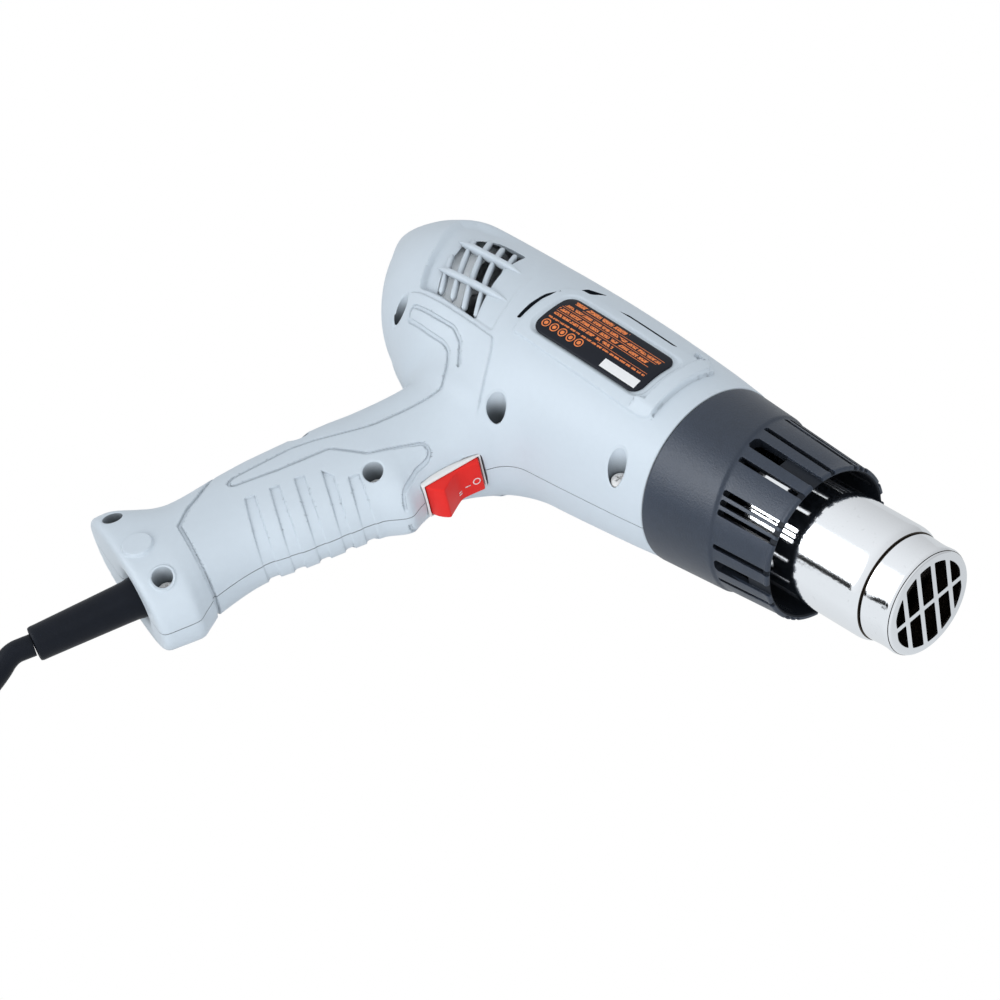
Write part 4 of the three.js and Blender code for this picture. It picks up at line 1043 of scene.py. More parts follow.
def group(
    name: str, inputs: list[tuple], outputs: list[tuple]
) -> tuple[Graph, bpy.types.Node, bpy.types.Node]:
    """Node group with its sockets.

    Args:
        name: name of the group.
        inputs: rows of name, type and default value.
        outputs: rows of name and type.

    Returns:
        The group's graph, its input node and its output node.
    """
    tree = bpy.data.node_groups.new(name, "ShaderNodeTree")
    for label, kind, value in inputs:
        socket = tree.interface.new_socket(name=label, in_out="INPUT", socket_type=kind)
        if value is not None:
            socket.default_value = value
    for label, kind in outputs:
        tree.interface.new_socket(name=label, in_out="OUTPUT", socket_type=kind)
    return Graph(tree), tree.nodes.new("NodeGroupInput"), tree.nodes.new("NodeGroupOutput")


FLOAT, COLOR, VECTOR = "NodeSocketFloat", "NodeSocketColor", "NodeSocketVector"


def moulded_group() -> bpy.types.NodeTree:
    """Moulded plastic: grain, uneven colour, painted shade in hollows that also roughens them, and painted highlights
    on edges.
    """
    g, given, out = group(
        "moulded",
        [("Colour", COLOR, (0.5, 0.5, 0.5, 1)), ("Roughness", FLOAT, 0.5), ("Grain size", FLOAT, 1500.0),
         ("Grain depth", FLOAT, 0.1), ("Mottle", FLOAT, 0.1), ("Dirt", FLOAT, 0.3), ("Edge light", FLOAT, 0.1)],
        [("Colour", COLOR), ("Roughness", FLOAT), ("Normal", VECTOR)],
    )
    place = g.node("ShaderNodeTexCoord").outputs["Object"]
    pits = g.noise(place, given.outputs["Grain size"], 2.0, 0.6)
    patches = g.noise(place, 26.0, 4.0, 0.55)
    fine = g.noise(place, 420.0, 3.0, 0.6)
    # Painted shade: ambient occlusion darkens the colour in hollows and creases toward a dark copy of it, and raises
    # the roughness there.
    hollow = g.node("ShaderNodeAmbientOcclusion", Distance=0.009, _samples=8).outputs["AO"]
    dirt = g.math("MULTIPLY", g.range(hollow, 0.1, 0.74, 1.0, 0.0), given.outputs["Dirt"])
    # Painted highlight: the colour is lightened along edges that the bevel rounds, unevenly over the patches.
    bent = g.node("ShaderNodeBevel", Radius=0.00035, _samples=4).outputs[0]
    flat = g.node("ShaderNodeNewGeometry").outputs["Normal"]
    turned = g.node("ShaderNodeVectorMath", _operation="DOT_PRODUCT", i0=bent, i1=flat).outputs["Value"]
    edge = g.math("MULTIPLY", g.range(turned, 0.995, 0.9, 0.0, 1.0), g.range(patches, 0.35, 0.7, 0.3, 1.0))
    edge = g.math("MULTIPLY", edge, given.outputs["Edge light"])
    tone = g.math("ADD", g.math("MULTIPLY", g.math("SUBTRACT", patches, 0.5), given.outputs["Mottle"]),
                  g.math("MULTIPLY", g.math("SUBTRACT", fine, 0.5), given.outputs["Mottle"]))
    value = g.math("ADD", g.math("ADD", 1.0, tone), edge)
    shade = g.node("ShaderNodeHueSaturation", Value=value, Color=given.outputs["Colour"]).outputs[0]
    # Dark copy of the colour that the hollows take on: painted shade.
    shaded_colour = g.node("ShaderNodeHueSaturation", Value=0.12, Saturation=1.15, Color=given.outputs["Colour"]).outputs[0]
    g.put(g.mix(dirt, shade, shaded_colour), out.inputs["Colour"])
    rough = g.math("ADD", given.outputs["Roughness"], g.math("MULTIPLY", g.math("SUBTRACT", patches, 0.5), 0.22))
    rough = g.math("ADD", rough, g.math("MULTIPLY", dirt, 0.25))
    g.put(g.math("MAXIMUM", rough, 0.05), out.inputs["Roughness"])
    bump = g.node("ShaderNodeBump", Height=pits, Normal=bent, Strength=given.outputs["Grain depth"], Distance=0.0002)
    g.put(bump.outputs[0], out.inputs["Normal"])
    return g.tree


def metal_group() -> bpy.types.NodeTree:
    """Sheet or turned metal: fine lines, smudges, spots and patches of heat tint."""
    g, given, out = group(
        "metal",
        [("Colour", COLOR, (0.8, 0.8, 0.8, 1)), ("Roughness", FLOAT, 0.15), ("Lines", FLOAT, 0.1),
         ("Smudge", FLOAT, 0.1), ("Tarnish", FLOAT, 0.0), ("Ripple", FLOAT, 0.0)],
        [("Colour", COLOR), ("Roughness", FLOAT), ("Normal", VECTOR)],
    )
    place = g.node("ShaderNodeTexCoord").outputs["Object"]
    long = g.node("ShaderNodeMapping", Vector=place, Scale=(2200.0, 60.0, 60.0)).outputs[0]
    lines = g.noise(long, 1.0, 2.0, 0.6)
    smears = g.noise(place, 70.0, 4.0, 0.6)
    spots = g.range(g.noise(place, 900.0, 2.0, 0.5), 0.66, 0.74, 0.0, 1.0)
    smudge = g.math("MULTIPLY", g.math("SUBTRACT", smears, 0.45), given.outputs["Smudge"])
    rough = g.math("ADD", given.outputs["Roughness"], smudge)
    rough = g.math("ADD", rough, g.math("MULTIPLY", spots, 0.08))
    g.put(g.math("MAXIMUM", rough, 0.03), out.inputs["Roughness"])
    brown = g.mix(g.math("MULTIPLY", smears, given.outputs["Tarnish"]), given.outputs["Colour"], (0.32, 0.24, 0.16, 1))
    g.put(g.mix(g.math("MULTIPLY", spots, 0.1), brown, (0.3, 0.3, 0.3, 1)), out.inputs["Colour"])
    bump = g.node("ShaderNodeBump", Height=lines, Strength=given.outputs["Lines"], Distance=0.00006)
    waves = g.noise(place, 1500.0, 2.0, 0.6)
    bump = g.node("ShaderNodeBump", Height=waves, Strength=given.outputs["Ripple"], Distance=0.00004,
                  Normal=bump.outputs[0])
    g.put(bump.outputs[0], out.inputs["Normal"])
    return g.tree


@dataclass(frozen=True)
class Plastic:
    """Finish of a moulded piece.

    Attributes:
        colour: linear colour.
        rough: roughness.
        grain: fineness of the grain.
        depth: strength of the grain.
        mottle: how uneven the colour is.
        dirt: darkness painted into the hollows as shade.
        edge: lightness of the painted highlight on edges.
        specular: strength of the reflections.
    """

    colour: tuple[float, float, float]
    rough: float
    grain: float
    depth: float
    mottle: float
    dirt: float
    edge: float
    specular: float


@dataclass(frozen=True)
class Metal:
    """Finish of a metal piece.

    Attributes:
        colour: linear colour.
        rough: roughness.
        lines: strength of the drawn lines.
        smudge: how uneven the roughness is.
        tarnish: brown from heat.
        ripple: strength of the small waves.
    """

    colour: tuple[float, float, float]
    rough: float
    lines: float
    smudge: float
    tarnish: float
    ripple: float = 0.0


PLASTICS = {
    "casing": Plastic((0.575, 0.645, 0.71), 0.42, 1900.0, 0.12, 0.04, 0.95, 0.05, 0.3),
    # Near-black copy of the casing plastic for its inner faces: painted shade.
    "inside": Plastic((0.020, 0.026, 0.036), 0.6, 1500.0, 0.1, 0.06, 0.4, 0.05, 0.1),
    # Copy of the casing plastic made much lighter for the motor mount and the inner faces round the intake: painted
    # light.
    "mount": Plastic((0.90, 0.94, 0.97), 0.5, 1500.0, 0.1, 0.06, 0.1, 0.05, 0.2),
    "shield": Plastic((0.026, 0.036, 0.056), 0.4, 1500.0, 0.5, 0.3, 0.95, 0.5, 0.42),
    # Darker copy of the shield's plastic for the walls and floors of its slots: painted shade.
    "slot": Plastic((0.009, 0.012, 0.018), 0.5, 1500.0, 0.4, 0.3, 0.6, 0.3, 0.2),
    "black_plastic": Plastic((0.006, 0.008, 0.012), 0.36, 1300.0, 0.25, 0.2, 0.3, 0.5, 0.14),
    "inner_plastic": Plastic((0.010, 0.012, 0.016), 0.5, 900.0, 0.3, 0.3, 0.5, 0.3, 0.1),
    "red_plastic": Plastic((0.76, 0.026, 0.022), 0.32, 1400.0, 0.06, 0.06, 0.6, 0.06, 0.14),
    "white_mark": Plastic((0.86, 0.76, 0.76), 0.4, 1400.0, 0.05, 0.06, 0.1, 0.0, 0.2),
    "rubber": Plastic((0.009, 0.011, 0.016), 0.42, 1100.0, 0.25, 0.25, 0.1, 0.3, 0.1),
    "mica": Plastic((0.10, 0.075, 0.05), 0.35, 500.0, 0.3, 0.5, 0.4, 0.1, 0.3),
    "ceramic": Plastic((0.06, 0.05, 0.045), 0.8, 700.0, 0.5, 0.25, 0.6, 0.05, 0.1),
    "board": Plastic((0.03, 0.14, 0.05), 0.35, 900.0, 0.15, 0.2, 0.4, 0.1, 0.5),
    "wire_brown": Plastic((0.12, 0.05, 0.03), 0.4, 900.0, 0.2, 0.2, 0.2, 0.1, 0.4),
    "wire_blue": Plastic((0.02, 0.09, 0.3), 0.4, 900.0, 0.2, 0.2, 0.2, 0.1, 0.4),
}
METALS = {
    "nozzle": Metal((0.87, 0.89, 0.92), 0.07, 0.10, 0.12, 0.0, 0.45),
    # Near-black copy of the nozzle's steel for its inner faces and creases: painted shade, with a little heat tint.
    "nozzle_inside": Metal((0.035, 0.034, 0.036), 0.45, 0.3, 0.2, 0.4),
    "steel": Metal((0.56, 0.57, 0.58), 0.3, 0.4, 0.25, 0.1),
    "screw": Metal((0.10, 0.105, 0.115), 0.35, 0.4, 0.25, 0.2),
    "brass": Metal((0.72, 0.54, 0.24), 0.25, 0.4, 0.2, 0.25),
    "blade": Metal((0.74, 0.66, 0.46), 0.22, 0.4, 0.2, 0.15),
    "heater_wire": Metal((0.2, 0.19, 0.18), 0.5, 0.3, 0.2, 0.5),
}


@dataclass
class Finishes:
    """The materials, made once and kept by name."""

    made: dict[str, bpy.types.Material] = field(default_factory=dict)

    def __post_init__(self) -> None:
        """Makes every material."""
        self.moulded, self.metal = moulded_group(), metal_group()
        for name, look in PLASTICS.items():
            self.plastic(name, look)
        for name, look in METALS.items():
            self.metal_finish(name, look)
        self.label_finish()

    def start(self, name: str) -> tuple[Graph, bpy.types.Node]:
        """New material with its shader and output.

        Args:
            name: its name.

        Returns:
            Its graph and its shader.
        """
        material = bpy.data.materials.new(name)
        material.use_nodes = True
        material.node_tree.nodes.clear()
        g = Graph(material.node_tree)
        shader = g.node("ShaderNodeBsdfPrincipled")
        g.node("ShaderNodeOutputMaterial", Surface=shader.outputs[0])
        self.made[name] = material
        return g, shader

    @staticmethod
    def fit_group(g: Graph, shader: bpy.types.Node, tree: bpy.types.NodeTree, inputs: dict[str, object]) -> None:
        """Puts a group before a shader."""
        node = g.node("ShaderNodeGroup", _node_tree=tree, **inputs)
        for output, name in (("Colour", "Base Color"), ("Roughness", "Roughness"), ("Normal", "Normal")):
            g.put(node.outputs[output], shader.inputs[name])

    def plastic(self, name: str, look: Plastic) -> None:
        """Material of a moulded piece.

        Args:
            name: its name.
            look: its finish.
        """
        g, shader = self.start(name)
        shader.inputs["Specular IOR Level"].default_value = look.specular
        self.fit_group(g, shader, self.moulded, {
            "Colour": (*look.colour, 1), "Roughness": look.rough, "Grain_size": look.grain,
            "Grain_depth": look.depth, "Mottle": look.mottle, "Dirt": look.dirt, "Edge_light": look.edge,
        })

    def metal_finish(self, name: str, look: Metal) -> None:
        """Material of a metal piece.

        Args:
            name: its name.
            look: its finish.
        """
        g, shader = self.start(name)
        shader.inputs["Metallic"].default_value = 1.0
        self.fit_group(g, shader, self.metal, {
            "Colour": (*look.colour, 1), "Roughness": look.rough, "Lines": look.lines,
            "Smudge": look.smudge, "Tarnish": look.tarnish, "Ripple": look.ripple,
        })

    def label_finish(self) -> None:
        """Dark plate with plain bars, rings and a white patch, in the UV map's millimetres."""
        g, shader = self.start("label")
        uv = g.node("ShaderNodeUVMap", _uv_map="plate").outputs[0]
        split = g.node("ShaderNodeSeparateXYZ", Vector=uv)
        x, y = split.outputs[0], split.outputs[1]

        def inside(value: Socket, low: float, high: float) -> Socket:
            """1 between two values."""
            return g.math("MULTIPLY", g.math("GREATER_THAN", value, low), g.math("LESS_THAN", value, high))

        rows = [(16.0, 17.6, 4.0, 29.0, 3.1), (13.3, 14.5, 2.2, 46.6, 2.1), (10.8, 12.0, 2.0, 44.0, 2.3),
                (8.4, 9.5, 2.0, 30.0, 1.9), (6.4, 7.1, 2.0, 46.8, 1.3)]
        lines = [(15.15, 15.35, 9.0, 47.2), (12.6, 12.8, 2.0, 46.0), (10.1, 10.3, 2.0, 45.0),
                 (7.75, 7.9, 24.0, 47.0)]
        marks = g.math("MULTIPLY", inside(y, *lines[0][:2]), inside(x, *lines[0][2:]))
        for low, high, left, right in lines[1:]:
            marks = g.math("MAXIMUM", marks, g.math("MULTIPLY", inside(y, low, high), inside(x, left, right)))
        for low, high, left, right, word in rows:
            bar = g.math("MULTIPLY", inside(y, low, high), inside(x, left, right))
            uneven = g.math("ADD", x, g.math("MULTIPLY", g.noise(uv, 0.9 / word, 1.0), word * 1.6))
            dash = g.math("GREATER_THAN", g.math("PINGPONG", uneven, word), word * 0.16)
            fleck = g.math("GREATER_THAN", g.noise(uv, 2.1, 1.0), 0.41)
            marks = g.math("MAXIMUM", marks, g.math("MULTIPLY", g.math("MULTIPLY", bar, dash), fleck))
        ring_x = g.math("SUBTRACT", g.math("MODULO", g.math("SUBTRACT", x, 1.5), 3.9), 1.95)
        ring_y = g.math("SUBTRACT", y, 4.1)
        reach = g.math("SQRT", g.math("ADD", g.math("MULTIPLY", ring_x, ring_x), g.math("MULTIPLY", ring_y, ring_y)))
        rings = g.math("MAXIMUM", inside(reach, 1.25, 1.65), g.math("LESS_THAN", reach, 0.75))
        marks = g.math("MAXIMUM", marks, g.math("MULTIPLY", rings, inside(x, 1.5, 21.0)))
        patch = g.math("MULTIPLY", inside(y, 1.3, 4.6), inside(x, 31.3, 47.3))
        worn = g.noise(uv, 1.3, 3.0, 0.6)
        marks = g.math("MULTIPLY", marks, g.range(worn, 0.3, 0.55, 0.6, 1.0))
        colour = g.mix(marks, (0.010, 0.012, 0.018, 1), (0.84, 0.245, 0.075, 1))
        colour = g.mix(patch, colour, (0.78, 0.79, 0.80, 1))
        self.fit_group(g, shader, self.moulded, {
            "Colour": colour, "Roughness": 0.38, "Grain_size": 900.0, "Grain_depth": 0.08,
            "Mottle": 0.1, "Dirt": 0.1, "Edge_light": 0.1,
        })
        shader.inputs["Specular IOR Level"].default_value = 0.14

    def give(self, obj: Object, name: str) -> None:
        """Gives an object one material."""
        obj.data.materials.clear()
        obj.data.materials.append(self.made[name])

    def two_tone(
        self, obj: Object, finish: str, dark: str, test: Callable[[Array, Array], Array], angle: float = 35
    ) -> Object:
        """Sharpens a turned piece and gives the faces that a test picks a darker finish.

        Args:
            obj: the piece.
            finish: name of its own finish.
            dark: name of the finish of the picked faces.
            test: function of places along the tool and radii.
            angle: sharp edges' least angle in degrees.

        Returns:
            The piece.
        """
        mesh = sharpen(obj, angle).data
        x, y, z = ((face_values(mesh, "center") * 1000 - ORIGIN) @ AXES.T).T
        self.give(obj, finish)
        mesh.materials.append(self.made[dark])
        mesh.polygons.foreach_set("material_index", test(x, np.hypot(y, z)).astype(int))
        return obj

    def dress(self, obj: Object, body: Body, finish: str, slot: str, *nodes: str) -> Object:
        """Gives a piece its material and body, and hides the frame's nodes that it stands for.

        Args:
            obj: the piece.
            body: body that carries it.
            finish: name of its finish, for a piece that has none yet.
            slot: not used.
            *nodes: nodes of the frame that it stands for.

        Returns:
            The piece.
        """
        if not obj.data.materials:
            self.give(obj, finish)
        if nodes:
            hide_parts(*nodes)
        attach(obj, body.value)
        log.info("%s: %d faces", obj.name, len(obj.data.polygons) if obj.type == "MESH" else 0)
        return obj


KEPT = {
    "mica_sleeve": "mica", "heater_base": "ceramic", "heater_end_disc": "ceramic", "heater_core": "ceramic",
    "heating_coil": "heater_wire", "air_duct": "inner_plastic", "motor_can": "steel",
    "motor_end_cap": "inner_plastic", "rectifier_board": "board", "motor_shaft": "steel",
    "fan_impeller": "inner_plastic", "motor_mount": "mount", "switch_terminal_1": "brass",
    "switch_terminal_2": "brass", "switch_terminal_3": "brass", "contact_lever": "brass",
    "cord_stub": "rubber", "cord_clamp": "inner_plastic", "clamp_screw_1": "screw", "clamp_screw_2": "screw",
    "live_wire": "wire_brown", "motor_wire": "wire_brown", "heater_wire": "wire_brown",
    "neutral_wire": "wire_blue",
}


# camera, light and floor


CAMERA_AXES = np.array([
    [0.6574, 0.732, -0.1785], [0.4169, -0.5508, -0.7231], [-0.6277, 0.4009, -0.6673],
])  # right, down and ahead in the tool's axes


@dataclass
class Studio:
    """White studio with the photograph's camera."""

    camera_at: tuple[float, float, float] = (528.2, -418.0, 612.3)
    lens: float = 100.8
    bright: tuple[float, float] = (-124, 33)
    dark: tuple[float, float] = (-123, 0)
    lamps: tuple = (("key", (0.796, -0.460, 0.949), 3.4), ("fill", (0.325, -1.213, 0.366), 5.4))
    lamp_size: float = 0.6
    target: tuple[float, float, float] = (0.0, 0.0, 0.03)

    def camera(self) -> None:
        """Sets the camera at the photograph's place."""
        camera = bpy.data.cameras.new("camera")
        camera.sensor_width, camera.lens = 36, self.lens
        camera.clip_start, camera.clip_end = 0.01, 20
        obj = bpy.data.objects.new("camera", camera)
        bpy.context.scene.collection.objects.link(obj)
        right, below, ahead = (AXES.T @ row for row in CAMERA_AXES)
        turn = Matrix([[right[i], -below[i], -ahead[i]] for i in range(3)]).to_quaternion()
        obj.matrix_world = Matrix.Translation(Vector(to_frame(self.camera_at))) @ turn.to_matrix().to_4x4()
        bpy.context.scene.camera = obj

    @staticmethod
    def by_ray(g: Graph, soft: bpy.types.Node, glossy: bpy.types.Node, seen: bpy.types.Node) -> Socket:
        """Shader that differs for lighting, for mirrors and for the camera.

        Args:
            g: graph that it is added to.
            soft: shader that lights the pieces.
            glossy: shader that shiny pieces mirror.
            seen: shader that the camera sees.

        Returns:
            The joined shader's output.
        """
        rays = g.node("ShaderNodeLightPath")
        shown = g.math("MAXIMUM", rays.outputs["Is Camera Ray"], rays.outputs["Is Transmission Ray"])
        both = g.node("ShaderNodeMixShader", i0=rays.outputs["Is Glossy Ray"], i1=soft.outputs[0], i2=glossy.outputs[0])
        return g.node("ShaderNodeMixShader", i0=shown, i1=both.outputs[0], i2=seen.outputs[0]).outputs[0]

    def sky(self) -> None:
        """World: white to the camera, soft light, and a graded sky with a dark band in mirrors."""
        scene = bpy.context.scene
        scene.view_settings.view_transform = "Standard"
        world = bpy.data.worlds.new("studio")
        scene.world = world
        world.use_nodes = True
        world.node_tree.nodes.clear()
        g = Graph(world.node_tree)
        way = g.node("ShaderNodeTexCoord").outputs["Generated"]

        def along(azimuth: float, height: float) -> Socket:
            """How far the looked-in direction lies along one that is given in degrees."""
            a, e = math.radians(azimuth), math.radians(height)
            line = (math.cos(e) * math.cos(a), math.cos(e) * math.sin(a), math.sin(e))
            return g.node("ShaderNodeVectorMath", _operation="DOT_PRODUCT", i0=way, i1=line).outputs["Value"]

        lit = along(*self.bright)
        sky = g.math("MULTIPLY_ADD", lit, 0.29, 0.74)
        spot = g.math("POWER", g.range(lit, 0.84, 0.99, 0.0, 1.0), 2.5)
        sky = g.math("MULTIPLY_ADD", spot, 5.5, sky)
        height = g.node("ShaderNodeSeparateXYZ", Vector=way).outputs[2]
        grain = g.noise(way, 60.0, 2.0, 0.7)
        edge = g.math("ADD", height, g.math("MULTIPLY", g.math("SUBTRACT", grain, 0.5), 0.2))
        band = g.math("GREATER_THAN", along(*self.dark), 0.985)
        dark = g.math("MULTIPLY", g.range(edge, 0.12, 0.19, 1.0, 0.0), band)
        sky = g.math("MULTIPLY", sky, g.math("SUBTRACT", 1.0, g.math("MULTIPLY", dark, 0.97)))
        glossy = g.node("ShaderNodeBackground", Color=(0.965, 0.985, 1.0, 1), Strength=sky)
        seen = g.node("ShaderNodeBackground", Color=(1, 1, 1, 1), Strength=1.0)
        soft = g.node("ShaderNodeBackground", Color=(0.95, 0.975, 1.0, 1), Strength=0.74)
        g.node("ShaderNodeOutputWorld", Surface=self.by_ray(g, soft, glossy, seen))

    def floor(self) -> None:
        """Floor that shows white and is mirrored a little darker to the rear."""
        mesh = bpy.data.meshes.new("floor")
        mesh.from_pydata([(-3, -3, 0), (3, -3, 0), (3, 3, 0), (-3, 3, 0)], [], [(0, 1, 2, 3)])
        floor = bpy.data.objects.new("floor", mesh)
        floor.location.z = -0.0006
        bpy.context.scene.collection.objects.link(floor)
        material = bpy.data.materials.new("floor")
        material.use_nodes = True
        material.node_tree.nodes.clear()
        g = Graph(material.node_tree)
        place = g.node("ShaderNodeSeparateXYZ", Vector=g.node("ShaderNodeTexCoord").outputs["Object"]).outputs[1]
        soft = g.node("ShaderNodeBsdfPrincipled", Base_Color=(0.86, 0.87, 0.88, 1), Roughness=0.7)
        dim = g.range(place, 0.02, 0.11, 0.92, 0.7)
        glossy = g.node("ShaderNodeEmission", Color=(0.95, 0.98, 1.0, 1), Strength=dim)
        seen = g.node("ShaderNodeEmission", Color=(1, 1, 1, 1), Strength=1.0)
        g.node("ShaderNodeOutputMaterial", Surface=self.by_ray(g, soft, glossy, seen))
        mesh.materials.append(material)

    def light(self) -> None:
        """Sets the soft square lamps, which shiny pieces do not mirror."""
        for name, place, power in self.lamps:
            lamp = bpy.data.lights.new(name, "AREA")
            lamp.size, lamp.energy, lamp.color = self.lamp_size, power, (0.98, 0.99, 1.0)
            obj = bpy.data.objects.new(name, lamp)
            bpy.context.scene.collection.objects.link(obj)
            obj.visible_glossy = False
            turn = (Vector(self.target) - Vector(place)).to_track_quat("-Z", "Y")
            obj.matrix_world = Matrix.Translation(Vector(place)) @ turn.to_matrix().to_4x4()

    def build(self) -> None:
        """Sets the sky, the floor and the lamps."""
        self.sky()
        self.floor()
        self.light()


# pieces


@dataclass
class Cord:
    """Free cord: lead, coil, tail, tie and plug, in row millimetres."""

    radius: float = 3.75
    inner: float = 31.0
    pitch: float = 8.0
    layer_turns: float = 2.6
    layers: int = 2
    heading: float = math.radians(-80)
    plug_turn: float = math.radians(118)
    floor: float = 0.7 + 0.3 + 3.75
    tie_thickness: float = 0.7
    tie_width: float = 9.0
    tie_turn: float = math.radians(100)
    blade_gap: float = 12.7
    blade_width: float = 6.3
    plug_rows: tuple = (
        (0.0, 4.6, 4.6), (0.6, 5.6, 5.4), (2.6, 5.9, 5.7), (3.2, 5.1, 4.9), (4.4, 5.1, 4.9), (5.0, 5.95, 5.8),
        (7.0, 5.95, 5.8), (7.6, 5.2, 5.1), (8.8, 5.3, 5.2), (9.6, 6.0, 5.95), (12, 6.6, 6.3), (15, 9.0, 7.2),
        (18, 11.8, 8.1), (21, 12.8, 8.6), (26, 12.3, 8.3), (31, 12.4, 8.5), (34.6, 12.9, 8.9),
        (35.6, 12.6, 8.7), (36, 12.0, 8.1),
    )

    def __post_init__(self) -> None:
        """Places the coil and the plug."""
        xy = on_handle(BUTT_END + 34 + 0.3, RELIEF_AHEAD)
        self.exit = to_frame([*xy, 0]) * 1000
        self.ahead = DOWN[0] * AXES[0] + DOWN[1] * AXES[1]
        self.outer = self.inner + self.pitch * self.layer_turns
        self.turns = self.layers * self.layer_turns
        self.start = self.on_floor(self.exit, (9.2, -54, self.floor))
        aside = np.array([math.sin(self.heading), -math.cos(self.heading)]) * self.outer
        self.centre = np.array([*(self.start[:2] + aside), self.floor])
        self.into = self.direction(0, 0.001)
        self.out = self.direction(self.turns - 0.001, self.turns)
        self.end = self.on_coil(self.turns)
        self.plug_at = self.on_floor(self.end, (-86, 17, 9))
        self.plug_ahead = np.array([math.cos(self.plug_turn), math.sin(self.plug_turn), 0])

    @staticmethod
    def on_floor(start: Array, step: tuple) -> Array:
        """Point a step in x and y from another, at a height."""
        return np.array([start[0] + step[0], start[1] + step[1], step[2]])

    def on_coil(self, turn: float) -> Array:
        """Point of the coil after a number of turns.

        Args:
            turn: turns from the outer end.

        Returns:
            The point.
        """
        phase = turn / self.layer_turns
        layer = min(math.floor(phase), self.layers - 1)
        inward = phase - layer if layer % 2 == 0 else 1 - (phase - layer)
        r = self.outer - (self.outer - self.inner) * inward
        angle = self.heading + math.pi / 2 - turn * 2 * math.pi
        climbs = [(turn - climb * self.layer_turns + 0.25) / 0.5 for climb in range(1, self.layers)]
        height = sum(self.pitch * float(ease(climb)) for climb in climbs)
        return self.centre + np.array([r * math.cos(angle), r * math.sin(angle), height])

    def direction(self, a: float, b: float) -> Array:
        """Unit step from one turn to another."""
        step = self.on_coil(b) - self.on_coil(a)
        return step / np.linalg.norm(step)

    @staticmethod
    def through(points: Points, count: int) -> Array:
        """Points of a centripetal curve through others, at even shares of its length.

        Args:
            points: the points that it goes through.
            count: number of points wanted.

        Returns:
            Points, shape (count, 3).
        """
        p = np.array(points, float)
        p = np.vstack([2 * p[0] - p[1], p, 2 * p[-1] - p[-2]])
        out = []
        for i in range(1, len(p) - 2):
            q = p[i - 1:i + 3]
            k = np.r_[0, np.cumsum(np.maximum(np.linalg.norm(np.diff(q, axis=0), axis=1), 1e-4) ** 0.5)]
            for t in np.linspace(k[1], k[2], 24, endpoint=i == len(p) - 3):
                row = list(q)
                for gap, low in ((1, 0), (2, 0), (1, 1)):
                    ends = [(k[j], k[j + gap]) for j in range(low, low + len(row) - 1)]
                    row = [((b - t) * p0 + (t - a) * p1) / (b - a) for (a, b), p0, p1 in zip(ends, row, row[1:])]
                out.append(row[0])
        out = np.array(out)
        along = np.r_[0, np.cumsum(np.linalg.norm(np.diff(out, axis=0), axis=1))]
        at = np.linspace(0, along[-1], count)
        return np.stack([np.interp(at, along, out[:, i]) for i in range(3)], 1)

    def route(self) -> Array:
        """Points of the whole cord."""
        reach = 2 * self.radius
        lead = self.through([
            self.exit, self.exit + self.ahead * reach,
            *[self.on_floor(self.exit, s) for s in [(-1.2, -14, 7.2), (2.6, -25, 5), (6.6, -36, 4.75)]],
            self.start - self.into * 2 * reach, self.start - self.into * (reach + 0.3),
        ], 16)
        coil = [self.on_coil(t) for t in np.linspace(0, self.turns, 126)]
        tail_start = self.end + self.out * (reach + 0.3)
        tail = self.through([
            tail_start, tail_start + self.out * reach,
            *[self.on_floor(self.end, s) for s in [(-24, -11.5, 10), (-43, -13.5, 5.6), (-62, -8, 5)]],
            *[self.plug_at - self.plug_ahead * d for d in (2 * reach, reach, 0.3)],
        ], 24)
        return np.vstack([lead, coil, tail])

    def jacket(self, finishes: Finishes) -> tuple[Object, float, Array]:
        """Curve of the cord's jacket.

        Args:
            finishes: the materials.

        Returns:
            The curve, its length and its first point, in metres.
        """
        curve = bpy.data.curves.new("mains_cord", "CURVE")
        curve.dimensions, curve.resolution_u = "3D", 5
        curve.bevel_depth, curve.bevel_resolution, curve.use_fill_caps = self.radius / 1000, 5, True
        points = self.route() / 1000
        line = curve.splines.new("BEZIER")
        line.bezier_points.add(len(points) - 1)
        for knot, p in zip(line.bezier_points, points):
            knot.co, knot.handle_left_type, knot.handle_right_type = p, "AUTO", "AUTO"
        obj = bpy.data.objects.new("mains_cord", curve)
        bpy.context.scene.collection.objects.link(obj)
        finishes.give(obj, "rubber")
        length = float(np.linalg.norm(np.diff(points, axis=0), axis=1).sum())
        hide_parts("cord_lead", "cord_coil", "cord_tail")
        return obj, length, points[0]

    def tie(self) -> Object:
        """Flat band round the coil's turns."""
        t, gap = self.tie_thickness, self.radius + 0.5
        low, high, top = self.inner - gap, self.outer + gap, self.floor + self.pitch + gap
        outer = rounded_box(low - t, high + t, 0, top + t, 4.0, 6)
        hollow = rounded_box(low, high, t, top, 3.3, 6)
        along = np.array([math.cos(self.tie_turn), math.sin(self.tie_turn)])
        across = np.array([-along[1], along[0]])
        points = []
        for w in (-self.tie_width / 2, self.tie_width / 2):
            for ring in (outer, hollow):
                points += [[*(self.centre[:2] + along * r + across * w), z] for r, z in ring]
        return round_edges(tidy(make_object("coil_tie_band", points, ring_faces(len(outer)), in_tool=False)), 0.25, 2)

    def in_plug(self, points: Points) -> Array:
        """Plug places (along, across, up) as row millimetres."""
        points = np.asarray(points, float)
        across = np.array([-math.sin(self.plug_turn), math.cos(self.plug_turn), 0])
        out = self.plug_at + points[:, :1] * self.plug_ahead + points[:, 1:2] * across
        return out + points[:, 2:] * np.array([0, 0, 1])

